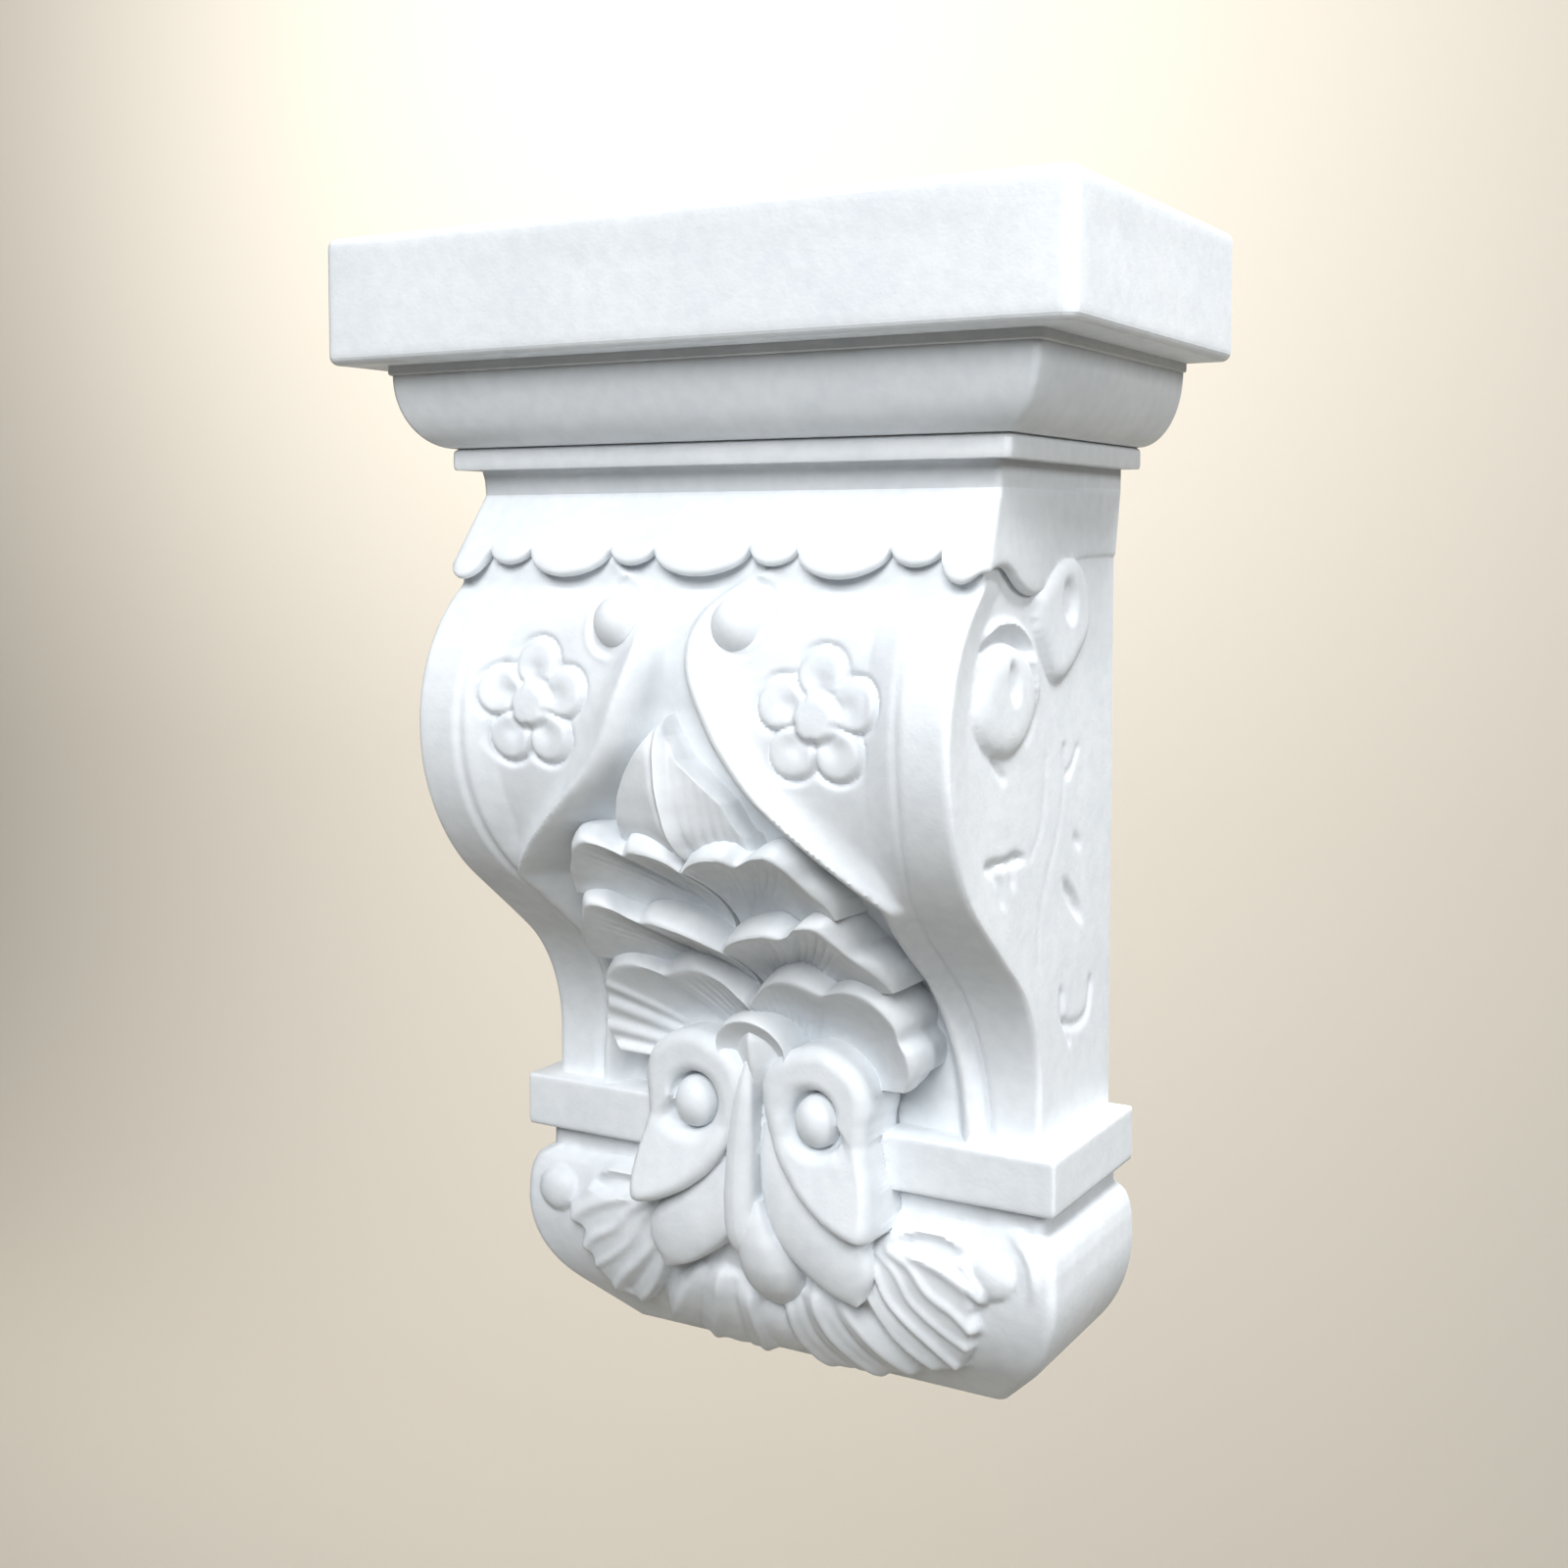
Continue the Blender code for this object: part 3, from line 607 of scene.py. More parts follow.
print("marks on each side:", len(MARKS))


# %% Side scrolls and husks as one height
def side_relief(out, drop):
    disc = oval(out, drop, (87, 139), (21, 15.8))
    hoop = oval(out, drop, (87, 138), (27, 23.5))
    height = 2.9 * dome(np.clip((disc - 0.5) / 0.5, 0, 1)) * (disc < 1)
    brow = 2.0 * ease((1.0 - hoop) / 0.14) * ease((148 - drop) / 14)
    height += ease((disc - 0.98) / 0.06) * (brow - 4.2 * ease((129 - drop) / 5) * ease((0.9 - hoop) / 0.12))
    height -= 1.7 * ease((1 - oval(out, drop, (84.5, 134), (4.6, 7.6), 10)) / 0.6)
    height += stroke(out, drop, ((70, 152), (65, 147), (62.5, 140), (63, 132)), 0.9, -0.7)
    rear = inside(out, drop, REAR_SCROLL)
    height += 2.8 * dome(np.clip(1 - rear / 6, 0, 1)) * (rear > 0)
    height -= 1.9 * ease((1 - oval(out, drop, (43, 112), (6.6, 8.6), 16)) / 0.6)
    for line, width, deep in MARKS:
        height += stroke(out, drop, line, MARK_WIDTH * width, -MARK_DEPTH * deep)
    height -= 1.5 * ease(inside(out, drop, NOTCH_LEAF) / 2.2)
    height -= 1.5 * ease((1 - oval(out, drop, (32.5, 204), (14, 3.8), -42)) / 0.7)
    return height


print("the roll of the front scroll:", round(float(side_relief(np.array(71.0), np.array(139.0))), 1), "mm")

# %% [markdown]
# ## Trunk
# The trunk is one skin wrapped round level loops: across the front with its relief, round a softened front
# edge, back along a narrow band and the side, and behind the wall, where it will be cut flat. A real casting
# isn't quite even: near the middle the carving of the two halves drifts by a few millimetres, so the halves are
# read one by one.

# %% Wrap the trunk
TRUNK_HALF, EDGE_RADIUS, BAND_BACK, BEHIND_WALL = 88, 2, 17, 8
DRIFT, FLOWER_DRIFT = 3.0, 2.8
SPLAY = ((165, 2.0), (215, 0.3))
drops = np.concatenate([np.arange(90, 116, 1.1), np.arange(116, 169, 0.72), np.arange(169, 283, 1.15)])
spots = np.concatenate([np.arange(0, 28, 1.1), np.arange(28, 69, 0.75), np.arange(69, 88.01, 0.9)])


def trunk_half(drop, hand):
    """Points from the middle of the front round to behind the wall, on the right (hand 1) or the left (-1)."""
    out = float(front(drop))
    wide = TRUNK_HALF + float(read(drop, SPLAY))
    across = spots * (wide - EDGE_RADIUS) / TRUNK_HALF
    drift = hand * DRIFT * ease((44 - across) / 18) * ease((160 - drop) / 36)
    flower = flower_relief(across - (FLOWER_DRIFT if hand < 0 else 0), drop)
    face = out + panel_relief(across + drift, drop) + flower
    turn = np.radians([18, 36, 54, 72, 90])
    bow = EDGE_RADIUS * np.stack([np.sin(turn), np.cos(turn)], 1)
    corner = (wide - EDGE_RADIUS, out - EDGE_RADIUS) + bow
    band = np.linspace((wide, out - EDGE_RADIUS), (TRUNK_HALF, out - BAND_BACK), 8)[1:]
    side = np.linspace((TRUNK_HALF, out - BAND_BACK), (TRUNK_HALF, -BEHIND_WALL), 96)[1:]
    relief = side_relief(side[:, 1], np.full(len(side), drop))
    side[:, 0] += relief * ease((out - BAND_BACK - side[:, 1]) / 3)
    plan = np.concatenate([np.stack([across, face], 1), corner, band, side])
    return place(*plan.T, drop)


rows = []
for drop in drops:
    right = trunk_half(drop, 1)
    left = trunk_half(drop, -1)[:0:-1] * (-1, 1, 1)
    rows.append(np.concatenate([left, right]))
trunk = wrap("trunk", rows)
tell(trunk)

# %% [markdown]
# ## Apron
# Under the listel a short skirt flares out and ends in a scalloped edge, cut into long and short tongues by
# pointed notches. Its edge is thick and rolled, so each tongue throws a soft crescent of shade. The same wrap
# runs along the plan of the skirt, from wall to wall, and each loop goes down its face, round the lip and back.

# %% Scallops along the lip
NOTCHES, NOTCH_TOP = (16.5, 32.5, 62.0, 78.0, 93.0), 95.5
TONGUES = (104.5, 101.5, 105.0, 101.5, 106.0)
SIDE_WAVE = (
    (110, 104.8), (106, 104), (103, 102.3), (99, 101.6), (93, 101.8), (87, 104), (81, 106.8), (74, 109),
    (67, 109.9), (61, 109.2), (55, 107.6), (50, 105.3), (45, 103.4), (39, 101.6), (34, 100.7), (20, 99.8),
    (-10, 99.6),
)


def lip_drop(across):
    """Drop of the scalloped edge across the front: each tongue hangs between two notches."""
    across, inner = np.abs(across), -NOTCHES[0]
    drop = np.full(across.shape, NOTCH_TOP)
    for outer, foot in zip(NOTCHES, TONGUES):
        share = np.clip((across - inner) / (outer - inner), 0, 1)
        hang = np.sin(pi * share) ** 0.36
        drop = np.where((across >= inner) & (across <= outer), NOTCH_TOP + (foot - NOTCH_TOP) * hang, drop)
        inner = outer
    return drop


print("tongues across the front:", 2 * len(TONGUES) - 1)

# %% Plan of the skirt
SKIRT_TOP, SKIRT_FOOT, APRON_TOP, THICK, LIP = 79.5, 101.5, 76.0, 14, 1.9


def apron_half():
    """The plan at the top and at the foot, the way each point faces, and how low the edge hangs there."""
    ahead = np.concatenate([np.arange(0, 84, 0.6), np.arange(84, 86.5, 0.5)])
    turn = np.linspace(0, pi / 2, 9)
    back = np.linspace(0, 1, 90)[1:]
    loops = []
    for half, depth, cut in ((90.0, 94.0, 2.0), (92.5, 110.0, 5.0)):
        face = np.stack([ahead * (half - cut) / 86.5, np.full(len(ahead), depth)], 1)
        corner = np.stack([half - cut + cut * np.sin(turn), depth - cut + cut * np.cos(turn)], 1)[1:]
        side = np.stack([np.full(len(back), half), (depth - cut) * (1 - back) - 8 * back], 1)
        loops.append(np.concatenate([face, corner, side]))
    upper, lower = loops
    lower[:, 0] -= 4.2 * ease((104 - lower[:, 1]) / 75) * (np.arange(len(lower)) >= len(ahead))
    facing = np.gradient(lower, axis=0)
    facing = np.stack([-facing[:, 1], facing[:, 0]], 1)
    facing /= np.linalg.norm(facing, axis=1)[:, None]
    on_side = ease((np.arange(len(lower)) - len(ahead)) / 8)
    foot = lip_drop(lower[:, 0]) * (1 - on_side) + smooth_read(lower[:, 1], SIDE_WAVE[::-1]) * on_side
    return upper, lower, facing, foot


upper, lower, facing, foot = apron_half()


def on_skirt(drop):
    share = (drop - SKIRT_TOP) / (SKIRT_FOOT - SKIRT_TOP)
    return upper + (lower - upper) * share[:, None]


print("points along half the skirt:", len(foot))

# %% Wrap the apron
top, edge = np.full(len(foot), APRON_TOP), foot - LIP
loop = [np.c_[on_skirt(top) - facing * THICK, top]]
for share in np.linspace(0, 1, 12):
    drop = APRON_TOP + (edge - APRON_TOP) * share
    loop.append(np.c_[on_skirt(drop), drop])
middle = on_skirt(edge) - facing * LIP
for turn in np.linspace(0, pi, 9)[1:]:
    loop.append(np.c_[middle + facing * LIP * cos(turn), edge + LIP * sin(turn)])
loop.append(np.c_[on_skirt(edge) - facing * THICK, edge - 1.0])
half_rows = np.stack([place(*points.T) for points in loop], axis=1)
left_rows = half_rows[:0:-1] * (-1, 1, 1)
apron = wrap("apron", np.concatenate([left_rows, half_rows]))
tell(apron)

# %% [markdown]
# ## Beads
# A round bead sits in the curled head of each panel. A ball is enough, sunk to its middle in the front. The two
# aren't at the same distance from the middle, because the whole head of each panel drifts a little to the left.

# %% Add the beads
BEAD_DROP, BEAD_SIZES = 118.0, (7.6, 7.0, 7.9)
bead_depth = float(front(BEAD_DROP)) - 1.2
beads = [
    ball(name, (across, bead_depth, BEAD_DROP), BEAD_SIZES)
    for name, across in (("bead", 18.0), ("bead_left", -23.0))
]
print("beads:", len(beads))

# %% [markdown]
# ## Leaves
# The spray is a pointed leaf at the top and three pairs of cupped leaves, one under another, each with a lobed
# rim. A carver hollows each leaf from its root up to the rim and rolls the back away from it, so the hollow
# falls in shade under a bright lip. Here rays run from the root to the rim. Each climbs the hollow, where fine
# ribs fan out, and turns over the lip and down the back. The lowest leaf on the left is fluted at its outer
# end, unlike its twin, so it is made apart.

# %% Wrap a cupped leaf
RIB_PITCH, FLUTES_FROM, FLUTE = 3.8, 0.64, 0.1


def leaf(name, root, rim, rays=170, cup=2.2, rib=0.4, ribbed=0.8, back=7.6, outer_thin=0.6, flutes=0.0):
    """rim: (across, depth, drop, width of the rolled back) from the stem outwards."""
    line = curve_through(rim, rays)
    edge, roll = line[:, :3], line[:, 3]
    root = np.array(root, float)
    reach = (edge - root) * (1, 0, 1)
    reach /= np.linalg.norm(reach, axis=1)[:, None]
    along = np.r_[0, np.cumsum(np.linalg.norm(np.diff(edge, axis=0), axis=1))]
    part = along / along[-1]
    ribs = 2.2 * ridge((along / RIB_PITCH) % 1 - 0.5, 0.17) - 0.6
    fluting = np.sin(pi * (part - FLUTES_FROM) / FLUTE) ** 2 * ease((part - FLUTES_FROM) / 0.05)
    loops = [root + reach * 1.0 - (0, 34, 0), root + reach * 1.0]
    for share in np.linspace(0, 1, 30)[1:]:
        spot = root + (edge - root) * share
        spot[:, 1] = root[1] + (edge[:, 1] - root[1]) * share**cup
        fade = ease((1 - share) / 0.14) * ease((share - 0.35) / 0.3) * ease((ribbed - part) / 0.25)
        spot[:, 1] += rib * ribs * fade
        spot[:, 1] += flutes * fluting * ease((share - 0.5) / 0.4) * (1 - 0.6 * share)
        loops.append(spot)
    back = back * (1 - outer_thin * ease((part - 0.6) / 0.35))
    for step in np.linspace(0, 1, 12)[1:]:
        spot = edge + reach * (roll * (1 - (1 - step) ** 1.2))[:, None]
        spot[:, 1] -= back * step**1.9
        loops.append(spot)
    loops.append(edge + reach * roll[:, None] - np.multiply.outer(back + 30, (0, 1, 0)))
    rows = np.stack(loops, axis=1)
    return wrap(name, place(*np.moveaxis(rows, -1, 0)))


print("ribs stand", RIB_PITCH, "mm apart along the rim")

# %% Three pairs of leaves: root, cup, rib, how far the ribs reach, rim
LEAVES = (
    ((1, 84, 214), 1.7, 0.75, 0.75, (
        (0.3, 117.5, 190.5, 4), (4, 119.5, 187.8, 6.5), (9, 121, 186, 7.5), (15, 121, 185.6, 7),
        (19.7, 118.8, 187, 5), (21.2, 119.2, 186.2, 5.5), (26, 121.5, 184, 7.5), (31, 122.3, 183.4, 7),
        (35, 121, 185.5, 5.5), (38.5, 117, 190, 3.5), (41, 113.5, 194, 4), (44, 109, 198.5, 2.5),
        (45.3, 106, 202, 1),
    )),
    ((1, 66, 242), 2.0, 0.7, 0.8, (
        (0.5, 95, 218, 4), (5, 100, 214.5, 6), (12, 103, 211.5, 7), (19, 104, 210, 7), (25, 103, 210.2, 5),
        (27, 103.5, 209.3, 5.5), (33, 108, 205.5, 7.5), (39, 108.5, 205.3, 7), (43.5, 105, 209.5, 4.5),
        (46.5, 101, 213.5, 2.5), (49.5, 96.5, 217.5, 3.5), (52.5, 90.5, 222.5, 2.5), (53.5, 86.5, 226, 1),
    )),
    ((1, 56, 270), 2.0, 0.35, 0.45, (
        (1, 80, 237, 4), (8.5, 83.5, 229.8, 5), (13, 85, 227.8, 6), (17, 85.5, 227.5, 6.5), (22, 85, 228.5, 6),
        (28.5, 84, 230.3, 4.5), (31, 84.5, 229.3, 5.5), (37, 86.5, 227.8, 6.5), (43, 87, 228.5, 5.5),
        (48.5, 85, 232.5, 4), (51.6, 81.5, 238.5, 3), (51.8, 79.5, 242.5, 1.5), (53.6, 78.5, 247, 2.5),
        (53.6, 76.5, 253, 2), (51, 74, 259, 1),
    )),
)
spray = []
for number, (root, cup, rib, ribbed, rim) in enumerate(LEAVES, 1):
    right = leaf(f"leaf_{number}", root, rim, cup=cup, rib=rib, ribbed=ribbed)
    spray.append(right)
    if number == len(LEAVES):
        right = leaf("fluted_leaf", root, rim, cup=cup, rib=rib, ribbed=ribbed, flutes=3.2)
    spray.append(twin(right))
bpy.data.objects.remove(right)
print("cupped leaves:", len(spray))

# %% [markdown]
# The pointed leaf stands over the others and leans out of the sunk floor. Its edges, its vein and its depth are
# read level by level. The half to the right of the vein is finely ribbed and the other half is smooth. A plain
# swelling behind the spray carries the leaves.

# %% The pointed leaf: edges and vein as (drop, across), depths as (drop, depth)
LEFT_EDGE = (
    (143.5, -3.2), (145, -3.4), (148.4, -5.2), (154.8, -10.2), (162, -15.5), (169.4, -19.6), (177.4, -21.8),
    (190, -22.5),
)
RIGHT_EDGE = (
    (143.5, -3.1), (145, -2.9), (150, -1.4), (157, 3.2), (160.6, 7), (168.9, 16), (178.4, 20.5), (190, 22),
)
VEIN = ((143.5, -3.15), (153, -2.4), (164, -1.8), (174, -0.5), (184, 1.4), (190, 2))
AT_VEIN = (
    (143.5, 113), (144.5, 118), (147, 123.5), (152, 127), (160, 127.9), (172, 126.6), (182, 122.5), (187, 116),
    (190, 106),
)
AT_EDGES = (
    (143.5, 113), (144.5, 117.5), (147, 122.5), (152, 125), (163, 123.6), (170, 121.3), (179, 117), (186, 109),
    (190, 100),
)
TIP, SHORT, END = 143.5, 150, 190


def top_leaf():
    rows = []
    u = np.linspace(-1, 1, 91)
    share = np.abs(u)
    for drop in np.r_[np.linspace(TIP, SHORT, 22)[:-1], np.linspace(SHORT, END, 76)]:
        left, right, vein = (float(read(drop, knots)) for knots in (LEFT_EDGE, RIGHT_EDGE, VEIN))
        centre, edge = (float(smooth_read(drop, knots)) for knots in (AT_VEIN, AT_EDGES))
        half = np.where(u > 0, right - vein, vein - left)
        across = vein + u * half
        depth = centre + (edge - centre) * share**0.85 - 0.07 * half * np.sin(pi * share)
        depth += 0.8 * ridge(across - vein, 1.1) - 0.8 * ridge(np.abs(across - vein) - 2.8, 1.3)
        rib = np.sin(2 * pi * across / 3.2) * ease((half - 7) / 8)
        rib = rib * ease((1 - share) / 0.2) * ease((share - 0.2) / 0.2)
        depth += 0.22 * rib * (u > 0)
        thin = 0.15 + 0.85 * ease((drop - TIP) / 9)
        brim = [(0.5 * thin, -0.8), (0.9 * thin, -2.5), (1.1 * thin, -30)]
        plan = [(left - wide, edge + sunk) for wide, sunk in brim[::-1]] + list(zip(across, depth))
        plan = np.array(plan + [(right + wide, edge + sunk) for wide, sunk in brim])
        rows.append(place(*plan.T, drop))
    return wrap("top_leaf", rows)


spray.append(top_leaf())
tell(spray[-1])

# %% The swelling behind the leaves: drop, half width and depth
SWELLING = (
    (186, 8, 92), (195, 26, 84), (210, 38, 74), (225, 44, 64), (240, 47, 58), (256, 48, 55), (274, 40, 54),
)


def mound():
    halves, depths = ([(knot[0], knot[i]) for knot in SWELLING] for i in (1, 2))
    turn = np.linspace(-pi / 2, pi / 2, 60)
    rows = []
    for drop in np.linspace(SWELLING[0][0], SWELLING[-1][0], 60):
        half, depth = float(smooth_read(drop, halves)), float(smooth_read(drop, depths))
        rows.append(place(half * np.sin(turn), 40 + (depth - 40) * np.cos(turn) ** 0.5, drop))
    return wrap("mound", rows)


spray.append(mound())
print("shapes in the spray:", len(spray))

# %% [markdown]
# ## Foot: the curl of the cushion
# Under the S comes a plain square band, then a cushion that swells and curls back under to a small flat foot.
# On the cushion a leaf sweeps out both ways in ridges, from a hollow under its turned top lip to a button in a
# socket, and ribbed lobes hang below. These too are one height, raised square to the curl.

# %% Profile of the cushion
CUSHION_HALF, CUSHION_DEPTH, BULGE, CURL, LEAN = 96.5, 66.5, 317.0, 44.0, radians(44)
FOOT = TOP - low[2] / MM
CURL_END = BULGE + CURL * sin(LEAN)


def inset(drop):
    """How far the cushion draws in from its fullest size."""
    drop = np.asarray(drop, float)
    neck = np.interp(drop, (300, 301.2, 303, 306, 310, BULGE), (6.5, 4.2, 2.2, 1.0, 0.3, 0))
    curl = CURL - np.sqrt(CURL**2 - np.clip(drop - BULGE, 0, CURL_END - BULGE) ** 2)
    under = np.interp(drop, (CURL_END, FOOT), (CURL * (1 - cos(LEAN)), 27))
    return np.select([drop <= BULGE, drop <= CURL_END], [neck, curl], under)


print("the cushion curls in by", round(float(inset(FOOT)), 1), "mm")

# %% Outlines and ridges on the cushion, as (across, drop)
SWEPT = (
    (33, 312), (40, 307), (46, 304.5), (54, 302.8), (62, 303), (67, 306.5), (72, 311.5), (76.5, 316.5),
    (75.5, 321), (71.5, 324), (73, 328.5), (70, 332.5), (69, 337), (64.5, 343.5), (60, 347), (53, 347.5),
    (45, 341), (39, 333), (34, 322),
)
HANGING = (
    (4, 334), (2.5, 346), (4, 356), (14, 360.5), (26, 360), (34, 357.5), (47, 351.5), (43, 343), (35, 334),
    (24, 327), (12, 328),
)
RIDGES = (
    (((34, 312), (38.2, 314.3), (42, 322.8), (48.5, 329.6), (56.5, 336.4), (64, 344.4)), 1.4, 2.1),
    (((40, 311), (46, 316), (50.8, 323.2), (58.8, 329.6), (69, 336)), 1.0, 1.4),
    (((44, 310), (50.3, 313.2), (57.4, 320.3), (65.8, 324.8), (71.5, 330)), 1.3, 1.6),
    (((52, 309.5), (57, 310.8), (63.8, 313.6), (71.4, 317.5), (74.5, 320.5)), 1.9, 2.0),
    (((33.2, 316), (36.5, 323.5), (40.7, 331), (45, 337.8), (54, 346)), 1.5, 1.8),
    (((45, 304.8), (52, 302.2), (60, 302), (66.5, 305), (71.5, 310), (76, 316)), 1.9, 1.4),
    (((38.8, 319.4), (42.7, 327.1), (49.2, 334.8), (57.5, 342.8)), 1.0, -1.3),
    (((7, 334), (8, 345), (12, 358)), 1.7, 1.6), (((17, 328), (20, 339), (25, 348), (31, 357)), 1.7, 1.8),
    (((27, 329), (35, 340), (44, 350.5)), 1.7, 1.6), (((12.5, 331), (15, 346), (20, 358)), 1.2, -1.3),
    (((22, 328), (28, 341), (36, 354)), 1.2, -1.3),
)
print("ridges on each half:", len(RIDGES))

# %% Swept leaf, button and hanging lobes as one height
RIDGE_WIDTH, RIDGE_HEIGHT, BUTTON, BUTTON_RADIUS = 1.1, 0.85, (80.5, 312.5), (8.0, 7.4)


def foot_relief(across, drop):
    x = np.abs(across)
    from_button = x + np.where(across > 0, 3.5, -2.5) - BUTTON[0]
    height = 3.2 * ease((inside(x, drop, SWEPT) + 0.6) / 2.4)
    height -= 4.4 * ease((1 - oval(x, drop, (57.5, 307.4), (12.5, 3.5), 2)) / 0.5)
    hang = inside(x, drop, HANGING)
    height = np.maximum(height, 4.5 * dome(np.clip(1 - hang / 7, 0, 1)) * (hang > 0))
    for line, width, lift in RIDGES:
        height += stroke(x, drop, line, RIDGE_WIDTH * width, RIDGE_HEIGHT * lift)
    height = np.maximum(height, 4.0 * dome(oval(across, drop, (-3, 348), (8, 11.5), 4)))
    socket = np.hypot(from_button, drop - BUTTON[1])
    height -= 2.8 * ridge(socket - 9.4, 1.5) * ease((from_button + 8.5) / 5)
    height += 1.3 * ridge(socket - 12.8, 2.4) * ease((from_button + 6.5) / 6) * ease((320 - drop) / 8)
    across_button = (from_button + 0.5) / BUTTON_RADIUS[0]
    button = 4.2 * dome(np.hypot(across_button, (drop - BUTTON[1]) / BUTTON_RADIUS[1]))
    return np.maximum(height, button - 0.6 * (button > 0))


print("the button spans", 2 * BUTTON_RADIUS[0], "by", 2 * BUTTON_RADIUS[1], "mm")

# %% One level of a form that returns along both sides
def level_loop(half, depth, drop, corner, run, lift=None):
    """A loop with eased corners at one drop, raised by a height square to the curl."""
    turn = np.linspace(0, pi / 2, 6)
    front_run = np.linspace(0, half - corner, run)[:-1]
    across = np.concatenate([front_run, half - corner + corner * np.sin(turn), np.full(24, half)])
    back = np.linspace(depth - corner, -BEHIND_WALL, 25)[1:]
    out = np.concatenate([np.full(run - 1, depth), depth - corner + corner * np.cos(turn), back])
    across, out = np.r_[-across[:0:-1], across], np.r_[out[:0:-1], out]
    down = np.full(len(out), drop)
    if lift is not None:
        slope = atan(float(inset(drop + 0.5) - inset(drop - 0.5)))
        raise_by = lift(across, down) * ease((half - 1 - np.abs(across)) / 5) * (out >= depth - 0.01)
        out, down = out + raise_by * cos(slope), down + raise_by * sin(slope)
    return place(across, out, down)


print("points round the fullest level:", len(level_loop(CUSHION_HALF, CUSHION_DEPTH, BULGE, 3.0, 125)))

# %% Wrap the band and the cushion
band_levels = [(95.2, 64.7, 275.0), (95.8, 65.3, 275.3), (96, 65.5, 276)]
band_levels += [(96, 65.5, drop) for drop in np.linspace(277, 291, 12)]
band_levels += [(95.8, 65.3, 292.1), (95.2, 64.7, 292.4)]
square = wrap("band", [level_loop(*level, 1.2, 30) for level in band_levels])
rows = []
for drop in np.r_[288, np.linspace(294, 300, 4), np.arange(300.5, FOOT, 0.85), FOOT, FOOT + 3]:
    tuck = float(inset(min(drop, FOOT))) + max(drop - FOOT, 0)
    rows.append(level_loop(CUSHION_HALF - tuck, CUSHION_DEPTH - tuck, drop, 3.0, 125, lift=foot_relief))
cushion = wrap("cushion", rows)
tell(cushion)

# %% [markdown]
# ## Foot: volutes
# A stem splits into two volutes. Each is one carved roll round an eye: thick over the top and on the inner
# side, thin on the outer side, with a narrow groove round the eye, and it runs down into a full lobe. So it is
# laid out on rays from the eye, and its height is read along each ray. A bent bar would keep one thickness and
# show a hole in the middle. The eye is a ball of its own, sunk in the groove.

# %% Lines of a volute, as (degrees round the eye, millimetres)
OUTLINE = (
    (0, 15.5), (23, 17.7), (46, 20.1), (69, 20.9), (93, 22.3), (119, 22.4), (146, 23.6), (159, 22.8),
    (184, 19.8), (210, 19.4), (228, 20.8), (246, 23), (263, 26.9), (277, 31.5), (289, 36.3), (297.5, 40.5),
    (304.6, 33.6), (311, 27.5), (320.4, 21.4), (334, 16.8), (347, 15.6), (360, 15.5),
)
GROOVE = (
    (0, 6.1), (45, 6.8), (90, 8.2), (135, 9.8), (180, 10.4), (225, 10.8), (270, 10.6), (300, 9.8), (322, 8.6),
    (340, 7.0), (360, 6.1),
)
GROOVE_DEPTH = (
    (0, 2.8), (45, 5.2), (90, 6.2), (225, 6.2), (270, 6.0), (322, 5.0), (338, 3.0), (347, 1.8), (360, 2.8),
)
EASED = (
    (0, 1.3), (45, 3.0), (90, 4.0), (135, 5.0), (180, 5.6), (225, 4.6), (270, 3.8), (298, 4.6), (318, 8.0),
    (330, 6.5), (342, 3.0), (352, 1.4), (360, 1.3),
)
print("the roll reaches", max(reach for _, reach in OUTLINE), "mm from the eye at most")

# %% Lay the volutes out on rays
EYE, ROLL_DEPTH = (24.0, 270.3), 78.6


def volute():
    angle = np.arange(0, 360, 2.25)
    edge, groove, deep, inner_round = (read(angle, knots) for knots in (OUTLINE, GROOVE, GROOVE_DEPTH, EASED))
    for _ in range(2):
        edge, groove = ((np.roll(line, 1) + 2 * line + np.roll(line, -1)) / 4 for line in (edge, groove))
    turn = np.radians(angle)
    loops = [(groove * share, 78.2 - deep - 0.3) for share in (0.05, 0.5, 0.9)]
    wide = edge - groove
    inner_round, outer_round = np.minimum(inner_round, wide * 0.75), np.minimum(5.0, wide * 0.45)
    for share in (1 - np.cos(np.linspace(0, pi, 42))) / 2:
        reach = groove + wide * share
        down = EYE[1] - reach * np.sin(turn)
        top = ROLL_DEPTH + 0.24 * np.clip(down - 277, 0, 27) - 0.35 * np.maximum(down - 304, 0)
        near, far = (reach - groove) / inner_round, (edge - reach) / outer_round
        top = top - np.minimum(inner_round, deep) * 0.9 * (1 - dome(np.clip(1 - near, 0, 1)))
        loops.append((reach, top - outer_round * (1 - dome(np.clip(1 - far, 0, 1)))))
    loops.append((edge + 0.2, loops[-1][1] - 22))
    rows = np.stack([
        place(EYE[0] + reach * np.cos(turn), depth, EYE[1] - reach * np.sin(turn)) for reach, depth in loops
    ])
    return wrap("volute", rows)


scroll = volute()
eye = ball("eye", (22.0, 73.6, 271.6), (7.4, 7.4, 8.4))
tell(scroll)

# %% [markdown]
# Under the volutes two lobes sweep out over the cushion, a stem runs down between them and ends in a drop, and
# a folded bud stands where the stem leaves the leaves. All but the bud's cup are lobes between two edge curves.

